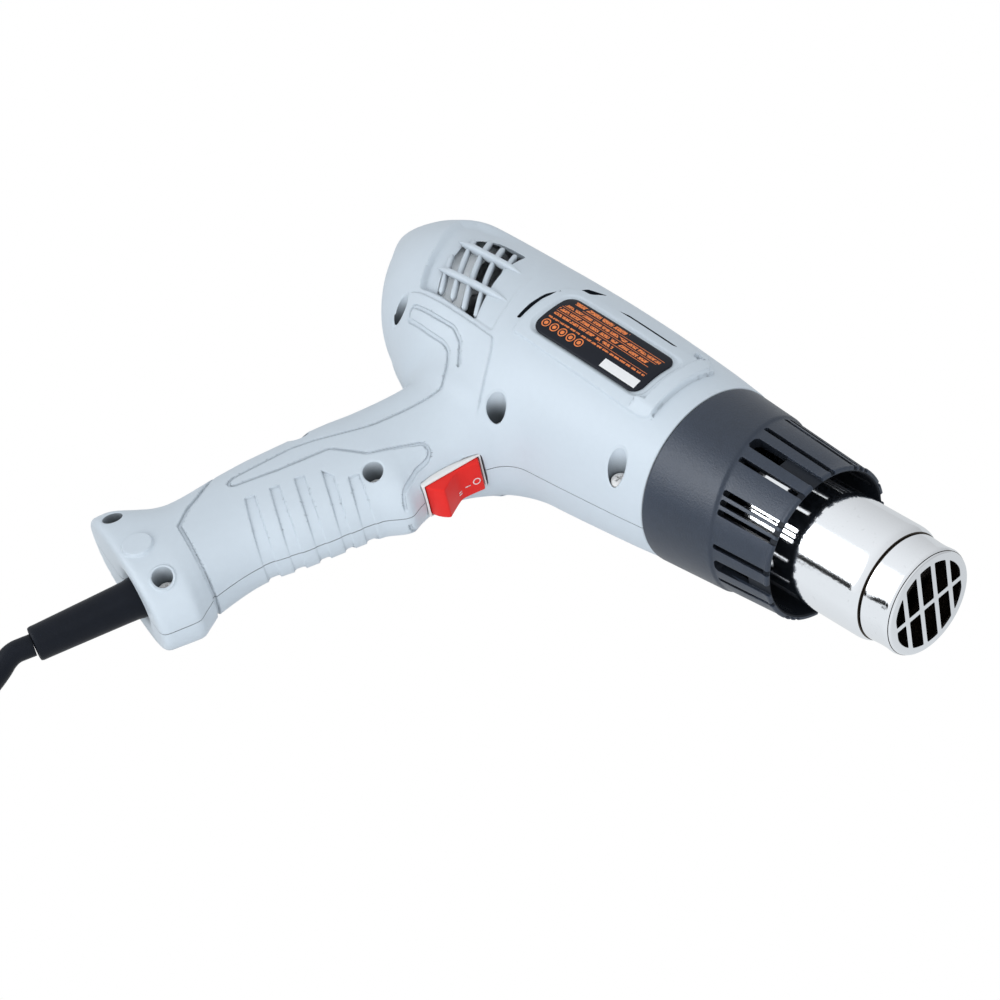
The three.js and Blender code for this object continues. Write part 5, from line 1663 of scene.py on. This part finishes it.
    def plug(self) -> Object:
        """Moulded plug: rounded sections from a ribbed neck to a broad head."""
        sides, points, faces = 48, [], []
        for along, half_w, half_t in self.plug_rows:
            for k in range(sides):
                c, s = squircle(2 * math.pi * k / sides, 3.4 if along > 12 else 2.2)
                points.append((along, half_w * c, half_t * s))
        last = len(self.plug_rows) - 1
        for i in range(last):
            for k in range(sides):
                m = (k + 1) % sides
                faces.append([i * sides + k, i * sides + m, (i + 1) * sides + m, (i + 1) * sides + k])
        faces += [list(range(sides))[::-1], [last * sides + k for k in range(sides)]]
        obj = tidy(make_object("mains_plug", self.in_plug(points), faces, in_tool=False))
        soft = obj.modifiers.new("soft", "SUBSURF")
        soft.levels = soft.render_levels = 1
        return sharpen(flatten(obj), 50)

    def plug_solid(self, name: str, outline: Points, middle: float, depth: float) -> Object:
        """Flat solid of the plug over an outline of places along and up."""
        points = [(x, middle + d, z) for d in (-depth, depth) for x, z in outline]
        return tidy(make_object(name, self.in_plug(points), prism_faces(len(outline), True), in_tool=False))

    def blade(self, side: int) -> Object:
        """Flat plug blade with a rounded tip and a hole.

        Args:
            side: -1 or 1.

        Returns:
            The blade.
        """
        middle = side * self.blade_gap / 2
        rear, w = 30.2, self.blade_width / 2
        tip = [(50.4, w), (52.4, 2.4), (53.3, 1.1)]
        outline = [(rear, -w), *[(x, -z) for x, z in tip], *tip[::-1], (rear, w)]
        obj = self.plug_solid(f"plug_blade_{'left' if side < 0 else 'right'}", outline, middle, 0.75)
        turns = np.arange(20) * math.pi / 10
        hole = [(48.6 + 1.6 * math.cos(a), 1.6 * math.sin(a)) for a in turns]
        return round_edges(combine(obj, self.plug_solid("hole", hole, middle, 2)), 0.2, 2)

    def build(self, finishes: Finishes) -> None:
        """Args:
            finishes: the materials.
        """
        lead, length, start = self.jacket(finishes)
        finishes.dress(lead, Body.TOOL, "rubber", "rubber")
        tie = finishes.dress(self.tie(), Body.TOOL, "black_plastic", "black_plastic", "coil_tie")
        plug = finishes.dress(self.plug(), Body.TOOL, "rubber", "rubber", "plug_body")
        blades = [
            finishes.dress(self.blade(side), Body.TOOL, "blade", "brass", f"plug_blade_{number}")
            for number, side in ((1, -1), (2, 1))
        ]


@dataclass
class Switch:
    """Rocker switch, in places out of its face, along it and across."""

    place: tuple[float, float] = (-65.0, -54.75)
    tilt: float = math.radians(-8.9)
    pin: float = -2.6
    turn: float = math.radians(12)
    reach: float = 8.2
    width: float = 12.6

    def on_face(self, points: Points) -> Array:
        """Switch places (out of its face, along it, across) as tool millimetres."""
        points = np.asarray(points, float)
        c, s = math.cos(self.tilt), math.sin(self.tilt)
        xy = np.array(self.place) + points[:, :1] * np.array([c, s]) + points[:, 1:2] * np.array([-s, c])
        return np.c_[xy, points[:, 2]]

    def block(self, name: str, outline: Points, low: float, high: float) -> Object:
        """Solid over an outline of the switch's face, between two depths.

        Args:
            name: its name.
            outline: corners (along, across).
            low: lower depth.
            high: upper depth.

        Returns:
            The object.
        """
        outline = np.asarray(outline, float)
        n = len(outline)
        points = np.concatenate([np.c_[np.full(n, d), outline] for d in (low, high)])
        return tidy(make_object(name, self.on_face(points), prism_faces(n), smooth=False))

    def body(self) -> Object:
        """Switch body with its thin rounded bezel."""
        body = round_edges(self.block("switch_bezel", rounded_box(-11.4, 11.4, -7, 7, 0.6, 4), -1.8, 0), 0.2, 2)
        case = self.block("case", rounded_box(-10.95, 10.95, -6.8, 6.8, 0.5, 3), -17, -0.9)
        body = combine(body, case, Join.UNION)
        opening = self.block("opening", rounded_box(-10.75, 10.75, -6.5, 6.5, 0.35, 3), -14.2, 3)
        return sharpen(combine(body, opening), 40)

    def on_rocker(self, points: Points) -> Array:
        """Rocker places about its pin as tool millimetres."""
        p, c, s = np.asarray(points, float), math.cos(self.turn), math.sin(self.turn)
        return self.on_face(np.c_[self.pin + p[:, 0] * c - p[:, 1] * s, p[:, 0] * s + p[:, 1] * c, p[:, 2]])

    @staticmethod
    def face(y: float) -> float:
        """Height of the rocker's dipped face over the pin."""
        return 3.9 + 2.7 * (math.sqrt((y - 0.3) ** 2 + 2.2) - 1.483) / 6.6

    def end(self, way: int) -> list[tuple[float, float]]:
        """Arc about the pin at one end of the rocker."""
        height, reach = self.face(way * self.reach), self.reach
        r = math.hypot(height, reach)
        turns = np.linspace(math.acos(height / r), math.acos(-1.5 / r), 9)[1:]
        return [(r * math.cos(a), way * r * math.sin(a)) for a in turns]

    def rocker(self) -> Object:
        """Rocker with a dipped face and round edges."""
        top = [(self.face(y), y) for y in np.linspace(-self.reach, self.reach, 33)]
        stem = [(-1.5, 1.4), (-7.0, 1.2), (-7.0, -1.2), (-1.5, -1.4)]
        side = top + self.end(1) + stem + self.end(-1)[::-1]
        points = [(x, y, z) for z in (-self.width / 2, self.width / 2) for x, y in side]
        rocker = tidy(make_object("rocker_cap", self.on_rocker(points), prism_faces(len(side), True)))
        return round_edges(rocker, 0.7, 4, 40)

    def mark(self, name: str, outline: Points, inner: Points | None = None) -> Object:
        """Thin white inlay on the rocker's face.

        Args:
            name: its name.
            outline: corners (along, across).
            inner: corners of its hole, as many.

        Returns:
            The object.
        """
        rings = [outline] if inner is None else [outline, inner]
        points = []
        for lift in (0.05, -0.25):
            for ring in rings:
                points += [(self.face(y) + lift, y, z) for y, z in ring]
        m = len(outline)
        faces = prism_faces(m, True) if inner is None else ring_faces(m)
        return tidy(make_object(name, self.on_rocker(points), faces))

    def marks(self) -> list[Object]:
        """White marks of the three positions."""
        made = [self.mark("off", circle(6.1, -1.4, 1.3, 32), circle(6.1, -1.4, 0.95, 32))]
        for name, low, high, w in (("one", 2.0, 3.9, -2.1), ("two_a", -0.9, 0.6, -3.6), ("two_b", -0.9, 0.6, -2.7)):
            made.append(self.mark(name, [(low, w), (high, w), (high, w + 0.35), (low, w + 0.35)]))
        return made

    def build(self, finishes: Finishes) -> None:
        """Makes and dresses the body, the rocker and its marks."""
        finishes.dress(self.body(), Body.TOOL, "black_plastic", "black_plastic", "switch_body")
        rocker, marks = self.rocker(), self.marks()
        finishes.dress(rocker, Body.ROCKER, "red_plastic", "red_plastic", "switch_rocker")
        finishes.dress(join(marks, "rocker_marks"), Body.ROCKER, "white_mark", "red_plastic")


@dataclass
class Boot:
    """Strain relief: tapered boot with a flared root and a lip."""

    profile: tuple = (
        (148.5, 4.05), (148.5, 9), (151.5, 9), (151.7, 7.5), (157.5, 7.45), (159.6, 7.2), (162.4, 6.82),
        (166, 6.68), (172, 6.52), (180, 6.32), (188, 6.12), (193.6, 5.98), (195.2, 5.98), (195.9, 5.86),
        (196.3, 5.6), (196.4, 5.2), (196.4, 4.95), (196.1, 4.72), (193.4, 4.6), (193.2, 3.78), (189, 3.78),
        (188, 4.05),
    )

    def build(self, finishes: Finishes) -> None:
        """Makes and dresses the boot."""
        boot = lathe("cord_boot", self.profile, (*on_handle(0, RELIEF_AHEAD), 0), (*DOWN, 0), 72)
        finishes.dress(sharpen(boot, 40), Body.TOOL, "rubber", "rubber", "strain_relief")


@dataclass
class Label:
    """Label plate that follows the barrel, with a UV map in millimetres."""

    rear: float = -68.0
    front: float = -18.4
    foot: float = -9.2
    top: float = 9.6
    radius: float = 4.0

    def plate(self, casing: Casing) -> Object:
        """The plate over the casing's surface.

        Args:
            casing: the casing's surface.

        Returns:
            The plate.
        """
        rear, front, foot, top = self.rear, self.front, self.foot, self.top
        outline = rounded_box(rear, front, foot, top, self.radius, 8)
        centre = np.array([(rear + front) / 2, (foot + top) / 2])
        dense = []
        for a, b in zip(outline, np.roll(outline, -1, axis=0)):
            pieces = max(1, int(np.linalg.norm(b - a) / 1.2))
            dense += [a + (b - a) * i / pieces for i in range(pieces)]
        dense = np.array(dense)
        shares = np.r_[np.linspace(1.0, 0.9, 3), np.linspace(0.8, 0.1, 8)]
        rings = np.concatenate([centre + (dense - centre) * s for s in shares] + [centre[None]])
        n = len(dense)
        heights = casing.side_height(rings)
        base = np.c_[rings, heights]
        normal = casing.normals(base)
        upper = base + normal * 0.82
        upper[:n] = base[:n] + normal[:n] * 0.66
        lower = base[:n] + normal[:n] * 0.1
        points = np.concatenate([upper, lower])
        faces = []
        for r in range(len(shares) - 1):
            faces += [[r * n + i, r * n + (i + 1) % n, (r + 1) * n + (i + 1) % n, (r + 1) * n + i] for i in range(n)]
        last, tip, low = (len(shares) - 1) * n, len(shares) * n, len(upper)
        faces += [[last + i, last + (i + 1) % n, tip] for i in range(n)]
        faces += [[low + i, low + (i + 1) % n, (i + 1) % n, i] for i in range(n)]
        faces.append([low + i for i in range(n)][::-1])
        obj = make_object("label_plate_bare", points, faces)
        layer = obj.data.uv_layers.new(name="plate")
        flat = np.concatenate([rings, rings[:n]]) - np.array([rear, foot])
        for loop in obj.data.loops:
            layer.data[loop.index].uv = flat[loop.vertex_index]
        return sharpen(obj, 40)

    def build(self, casing: Casing, finishes: Finishes) -> None:
        """Makes and dresses the plate."""
        finishes.dress(self.plate(casing), Body.TOOL, "label", "label", "label_plate")


class Zone(Enum):
    """Part of the shield that a row of its profile belongs to."""

    FIXED = "place and radius"
    REAR = "share of the rear cone and depth"
    STEP = "place from the step and depth"
    FRONT = "share of the front cone and depth"


@dataclass
class Shield:
    """Nose shield: smooth rear cone, stepped front with groups of cooling slots."""

    start: float = 0.3
    end: float = 51.8
    sides: int = 288
    step: float = 23.0
    lean: float = 0.21

    def radius(self, x: float | Array) -> float | Array:
        """Radius of the shield's cone."""
        return 31 - 4 * (x - self.start) / (self.end - self.start)

    def ring(self, turn: float, rows: list[tuple[Zone, float, float]]) -> Array:
        """Profile at one angle, with the step where it leans.

        Args:
            turn: the angle.
            rows: zone and two numbers of each point.

        Returns:
            Places and radii.
        """
        step = self.step - self.lean * (-math.sin(turn) * 28.5)
        out = []
        for zone, value, drop in rows:
            if zone is Zone.FIXED:
                out.append((value, drop))
                continue
            if zone is Zone.REAR:
                x = 1.4 + (step - 1.6 - 1.4) * value
            elif zone is Zone.STEP:
                x = step + value
            else:
                x = step + 2.2 + (50.2 - step - 2.2) * value
            out.append((x, self.radius(x) - drop))
        return np.array(out)

    def profile(self) -> list[tuple[Zone, float, float]]:
        """Rows of the profile, from the bore round the front to the rear."""
        inside = [(-6.2, 25.3), (0.3, 25.25), (12, 25.1), (30, 24.9), (50.4, 24.72), (51.4, 24.9)]
        lip = [(51.8, 25.4), (51.8, 25.9), (51.7, 26.35), (51.4, 26.62), (50.9, 26.72), (50.5, 26.66)]
        step = [(1.0, 0.62), (0.45, 0.56), (0.15, 0.36), (-0.15, 0.14), (-0.5, 0.02), (-0.9, 0.0)]
        root = [(0.75, 30.9), (0.42, 30.62), (0.3, 30.2), (0.3, 27.9), (-3.8, 27.9), (-3.8, 28.9), (-6.2, 28.9)]
        rows = [(Zone.FIXED, *row) for row in inside + lip]
        rows += [(Zone.FRONT, v, 0.6) for v in np.linspace(1, 0, 9)]
        rows += [(Zone.STEP, *row) for row in step]
        rows += [(Zone.REAR, v, 0.0) for v in np.linspace(1, 0, 9)]
        return rows + [(Zone.FIXED, *row) for row in root]

    def slot(self, angle: float, width: float, length: float, depth: float | None) -> list[tuple]:
        """Points of a slot's cutter.

        Args:
            angle: place round the shield in degrees.
            width: the slot's width.
            length: its length, where it goes through.
            depth: its depth, or None where it goes through.

        Returns:
            Twelve points, the six inner ones first.
        """
        turn = math.radians(angle)
        rear = self.step - self.lean * 28.5 * math.cos(turn) + 0.9
        end = min(rear + length, 49.3) if depth is None else 53.0
        radii = (19.5, 19.5) if depth is None else tuple(self.radius(x) - 0.6 - depth for x in (rear, end))
        corner = width * 0.22
        out = np.array([math.cos(turn), math.sin(turn)])
        across = np.array([-out[1], out[0]])
        outline = [(rear + corner, -width / 2), (end, -width / 2), (end, width / 2), (rear + corner, width / 2),
                   (rear, width / 2 - corner), (rear, -width / 2 + corner)]
        points = []
        for reach in (None, 34.0):
            for x, w in outline:
                r = reach if reach else radii[0] + (radii[1] - radii[0]) * (x - rear) / (end - rear)
                points.append((x, *(out * r + across * w)))
        return points

    def build(self, finishes: Finishes) -> None:
        """Makes and dresses the shield.

        Args:
            finishes: the materials.
        """
        shield = lathe("slotted_shield", self.profile(), sides=self.sides, shape=self.ring)
        for through in (True, False):
            points, faces = [], []
            for part in range(8):
                middle = 45 * part
                wide = part % 2 == 0
                cuts = [(middle, 4.6 if wide else 1.9, 13 if wide else 99)]
                cuts += [(middle + side * (15 if wide else 6.4), 1.9, 99) for side in (-1, 1)]
                for angle, width, length in cuts:
                    faces += [[i + len(points) for i in row] for row in prism_faces(6)]
                    points += self.slot(angle, width, length, None if through else (1.15 if width > 3 else 0.85))
            combine(shield, tidy(make_object("slots", points, faces, smooth=False)))
        # The slots' walls and floors get the darker slot finish: painted shade.
        finishes.two_tone(shield, "shield", "slot", lambda x, r: (r < self.radius(x) - 1.0) & (x < 51.7), 30)
        finishes.dress(shield, Body.TOOL, "shield", "shield", "nose_shield")


@dataclass
class Nozzle:
    """Bright steel nozzle: drawn tube and stamped cap."""

    radius: float = 19.55
    wall: float = 0.8
    window_radius: float = 14.9
    bar: float = 0.85
    pitch: float = 6.4

    def tube(self) -> Object:
        """Tube with a flange behind and a shoulder that runs into the cap."""
        r, bore = self.radius, self.radius - self.wall
        profile = [(-7.4, bore), (-7.4, 27.9), (-6.5, 27.9), (-6.5, r + 0.4), (-6.1, r)]
        profile += [(x, r) for x in np.linspace(0, 78.0, 14)]
        profile += [(79.0, r - 0.04), (79.8, r - 0.16), (80.5, r - 0.36), (81.1, r - 0.62), (81.7, r - 0.92)]
        profile += [(81.95, r - 1.06), (82.1, r - 1.4), (82.1, 17.75), (81.4, 17.75), (80.8, 18.3), (79.6, bore)]
        profile += [(x, bore) for x in np.linspace(70, 0, 8)]
        return lathe("nozzle_sleeve_outer", profile, sides=160)

    def windows(self) -> list[Array]:
        """Outlines of the cap's ten windows."""
        reach, bar, pitch, low_bar = self.window_radius, self.bar, self.pitch, -9.6
        out = []
        for row in range(5):
            low = -reach if row == 0 else low_bar + (row - 1) * pitch + bar
            high = reach if row == 4 else low_bar + row * pitch - bar
            edge = [(y, math.sqrt(max(reach**2 - y * y, 0))) for y in np.linspace(low, high, 9)]
            edge = [(y, z) for y, z in edge if z > 1.2]
            for side in (-1, 1):
                outline = [(y, side * bar) for y, _ in edge] + [(y, side * z) for y, z in edge[::-1]]
                out.append(round_corners(outline, 0.9, 3))
        return out

    def cap(self) -> Object:
        """Stamped cap: slight waist, rounded shoulder and a face with ten windows."""
        profile = [(80.4, 17.0), (80.4, 17.62), (82.7, 17.62), (82.76, 18.0), (82.95, 18.16), (83.4, 18.18)]
        profile += [(83.9, 18.14), (85.2, 18.04), (87.0, 17.92), (89.0, 17.88), (90.6, 17.96), (91.6, 18.08)]
        profile += [(92.2 + 2.2 * math.sin(a), 15.95 + 2.2 * math.cos(a)) for a in np.linspace(0.1, 0.62, 5)]
        profile += [(93.42, 17.42), (93.5, 17.5)]
        turns = np.linspace(0.25, math.pi / 2, 7)
        profile += [(93.5 + 0.86 * math.sin(a), 16.75 + 0.86 * math.cos(a)) for a in turns]
        profile += [(94.36, 15.4), (94.3, 15.0), (94.28, 12), (94.28, 8), (94.28, 4), (94.28, 0.0)]
        profile += [(93.4, 0.0), (93.4, 8), (93.4, 15.0), (92.6, 16.0), (91.4, 16.6), (89, 17.0)]
        cap = lathe("nozzle_grille", profile, sides=128)
        for outline in self.windows():
            points = [(x, y, z) for x in (92.0, 96.0) for y, z in outline]
            combine(cap, tidy(make_object("window", points, prism_faces(len(outline), True), smooth=False)))
        return cap

    @staticmethod
    def hollow(x: Array, r: Array) -> Array:
        """Whether a face lies inside, in the crease behind or in the rim's line, the places that get painted shade."""
        return (x < 82.85) | ((x < 93.6) & (r < 17.3)) | ((x > 93.2) & (x < 93.6) & (r < 17.6))

    def build(self, finishes: Finishes) -> None:
        """Makes and dresses the tube and the cap."""
        # Inner faces, the crease behind the cap's shoulder and the rim's line get the near-black nozzle_inside finish:
        # painted shade.
        tube = finishes.two_tone(self.tube(), "nozzle", "nozzle_inside", lambda x, r: r < 18.35)
        finishes.dress(tube, Body.TOOL, "nozzle", "nozzle", "nozzle_tube")
        cap = finishes.two_tone(self.cap(), "nozzle", "nozzle_inside", self.hollow)
        finishes.dress(cap, Body.TOOL, "nozzle", "nozzle", "nozzle_cap")


@dataclass
class Screw:
    """Pan head screw with a cross recess."""

    name: str
    x: float
    y: float
    seat: float

    def build(self, finishes: Finishes) -> None:
        """Makes and dresses the screw.

        Args:
            finishes: the materials.
        """
        profile = [(-16, 0.0), (-16, 1.1), (-14, 1.5), (0, 1.5), (0, 3.1), (1.0, 3.1), (1.6, 2.85), (1.95, 2.2)]
        profile += [(2.0, 1.2), (2.0, 0.0)]
        start = (self.x, self.y, self.seat)
        screw = sharpen(lathe(f"{self.name}_pan", profile, start, (0, 0, 1), 32, closed=False), 35)
        turn = math.radians(self.x * 7 % 90)
        for extra in (0, math.pi / 2):
            c, s = math.cos(turn + extra), math.sin(turn + extra)
            cross = np.array([(-1.8, -0.42), (1.8, -0.42), (1.8, 0.42), (-1.8, 0.42)]) @ np.array([[c, s], [-s, c]])
            combine(screw, prism("cross", cross + (self.x, self.y), self.seat + 0.7, self.seat + 3))
        finishes.dress(sharpen(screw, 35), Body.TOOL, "screw", "steel", self.name)


@dataclass
class Shell:
    """Both halves of the casing, carved, hollowed and cut, with the bars of the air intake."""

    casing: Casing
    switch: Switch
    cell: float = 1.35
    inner_cell: float = 2.0
    window_low: float = 20

    def outside(self) -> tuple[Array, Array]:
        """Points and triangles of the smooth half, fine where there is detail."""
        casing = self.casing
        points, quads = surface_net(casing.half, (-171.5, -172, -2.8), (2.5, 41, 40), self.cell)
        faces = to_triangles(quads)
        points = snap(points, casing.half, 2)
        for _ in range(4):
            points, faces = refine(points, faces, casing.wanted)
            points = snap(points, casing.half, 1)
        points = snap(points, casing.half, 2)
        log.info("casing half: %d triangles", len(faces))
        return points, faces

    def hollow(self, p: Array) -> Array:
        """Distance from the space inside the right half, with the screw bosses left standing.

        Args:
            p: points.

        Returns:
            Distances.
        """
        d = np.maximum(self.casing.skin(p) + WALL, p[:, 0] + 3.5)
        for x, y, _ in WELLS.values():
            d = np.maximum(d, 4.8 - np.hypot(p[:, 0] - x, p[:, 1] - y))
        return np.maximum(d, -p[:, 2] - 3)

    def carved(self, base: Array, faces: Array, side: int) -> Object:
        """One half with its details, still solid.

        Args:
            base: points of the smooth half.
            faces: its triangles.
            side: 1 right, -1 left.

        Returns:
            The object.
        """
        normal = self.casing.normals(base)
        move = self.casing.carve(base, normal)
        if side < 0:
            wells = np.min([np.hypot(base[:, 0] - x, base[:, 1] - y) for x, y, _ in WELLS.values()], axis=0)
            move = np.where(wells < 6, 0, move)
        points = base + normal * move[:, None]
        if side < 0:
            points, faces = points * [1, 1, -1], faces[:, ::-1]
        return make_object("casing_right" if side > 0 else "casing_left", points, faces)

    def halves(self) -> list[Object]:
        """Both halves, hollow and with their openings."""
        points, faces = self.outside()
        inner, quads = surface_net(self.hollow, (-168, -165, -4.5), (-1, 38, 37), self.inner_cell)
        inner = snap(inner, self.hollow, 2)
        made = []
        for side in (1, -1):
            body = self.carved(points, faces, side)
            order = quads if side > 0 else quads[:, ::-1]
            combine(body, make_object("hollow", inner * np.array([1, 1, side]), order, smooth=False))
            for outline in [round_corners(VENT, 1.0), *[round_corners(slot, 0.5, 2) for slot in SLOTS]]:
                combine(body, prism("window", outline, *sorted((side * self.window_low, side * 48))))
            if side > 0:
                for x, y, seat in WELLS.values():
                    combine(body, prism("well", circle(x, y, WELL_R), seat, 46))
            hole = [(144, 0.0), (144, 7.6), (170, 7.6), (170, 0.0)]
            combine(body, lathe("hole", hole, (*on_handle(0, RELIEF_AHEAD), 0), (*DOWN, 0), 64, False))
            bore = [(-8.4, 0.0), (-8.4, 28.2), (3, 28.2), (3, 0.0)]
            combine(body, lathe("bore", bore, sides=128, closed=False))
            combine(body, self.switch.block("seat", rounded_box(-11.7, 11.7, -7.3, 7.3, 1.6, 5), -2.1, 9))
            combine(body, self.switch.block("room", rounded_box(-11.1, 11.1, -6.95, 6.95, 0.9, 3), -20, 3))
            seam = [(-180, -180), (10, -180), (10, 50), (-180, 50)]
            combine(body, prism("seam", seam, *sorted((side * SPLIT, -side * 9))))
            made.append(sharpen(body, 30))
        return made

    def bar(self, name: str, xy: Array, side: int, sunk: float, size: tuple[float, float, float, float]) -> Object:
        """Bar along the surface."""
        base = np.c_[xy, self.casing.side_height(xy)]
        normal, flip = self.casing.normals(base), [1, 1, side]
        return rod(name, (base - normal * sunk) * flip, normal * flip, size)

    def bars(self, side: int) -> list[Object]:
        """Long ribs and leaning bars over the air intake of one half.

        Args:
            side: 1 right, -1 left.

        Returns:
            The bars.
        """
        made = []
        for i, (start, end) in enumerate([((-122.8, 7.0), (-91.2, 8.1)), ((-119.4, -6.5), (-84.2, -5.1))]):
            made.append(self.bar(f"rib_{i}", np.linspace(start, end, 30), side, 0.95, (2.4, 3.4, 7.0, 3.2)))
        for i in range(5):
            x0 = -119.6 + 6.4 * i
            xy = np.array([(x0 - 0.62 * y, y) for y in np.linspace(17.5, -16, 24)])
            inside = signed_distance(xy, np.array(VENT)) < 1.5
            if inside.sum() >= 5:
                made.append(self.bar(f"bar_{i}", xy[inside], side, 2.2, (2.0, 2.6, 0.3, 2.6)))
        if side < 0:
            for obj in made:
                obj.data.flip_normals()
                tidy(obj)
        return made

    def line(self, obj: Object, finishes: Finishes) -> None:
        """Gives the faces inside a half painted light and shade: a lightened copy of the casing colour round the
        intake, and a near-black copy as painted shade ahead of it and on the slots' walls.

        Args:
            obj: the half.
            finishes: the materials.
        """
        mesh = obj.data
        p = (face_values(mesh, "center") * 1000 - ORIGIN) @ AXES.T
        turned = face_values(mesh, "normal") @ AXES.T
        turned[:, 2] *= np.where(p[:, 2] > 0, 1, -1)
        p[:, 2] = np.abs(p[:, 2])
        deep = self.casing.skin(p)
        inner = (deep < -2.2) & ((turned * self.casing.normals(p)).sum(axis=1) < -0.2)
        for x, y, _ in WELLS.values():
            inner &= np.hypot(p[:, 0] - x, p[:, 1] - y) > WELL_R + 0.2
        slots = np.min([signed_distance(p[:, :2], np.array(slot)) for slot in SLOTS], axis=0)
        # Painted shade on the inner faces ahead of the intake and on the slots' walls; painted light, the lightened
        # mount finish, on the other inner faces.
        dark = (inner & (p[:, 0] > -100)) | ((deep < -0.5) & (slots < 0.5) & (p[:, 2] > 15))
        mesh.materials.append(finishes.made["inside"])
        mesh.materials.append(finishes.made["mount"])
        mesh.polygons.foreach_set("material_index", np.where(dark, 1, np.where(inner, 2, 0)))

    def build(self, finishes: Finishes) -> None:
        """Makes and dresses both halves.

        Args:
            finishes: the materials.
        """
        for side, half in zip((1, -1), self.halves()):
            bars = self.bars(side)
            for obj in [*bars, half]:
                finishes.give(obj, "casing")
            half = join([half, *bars], half.name)
            node = "housing_right" if side > 0 else "housing_left"
            finishes.dress(half, Body.TOOL, "casing", "casing", node)
            self.line(half, finishes)


def main() -> None:
    """Builds the whole scene round the frame."""
    logging.basicConfig(level=logging.INFO, format="%(name)s: %(message)s")
    studio = Studio()
    studio.camera()
    finishes = Finishes()
    Cord().build(finishes)
    studio.build()
    casing, switch = Casing(), Switch()
    Shell(casing, switch).build(finishes)
    Label().build(casing, finishes)
    for piece in (Shield(), Nozzle(), Boot()):
        piece.build(finishes)
    for name, place in WELLS.items():
        Screw(f"screw_{name}", *place).build(finishes)
    switch.build(finishes)
    for node, finish in KEPT.items():
        finishes.give(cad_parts[node], finish)


if __name__ == "__main__":
    main()
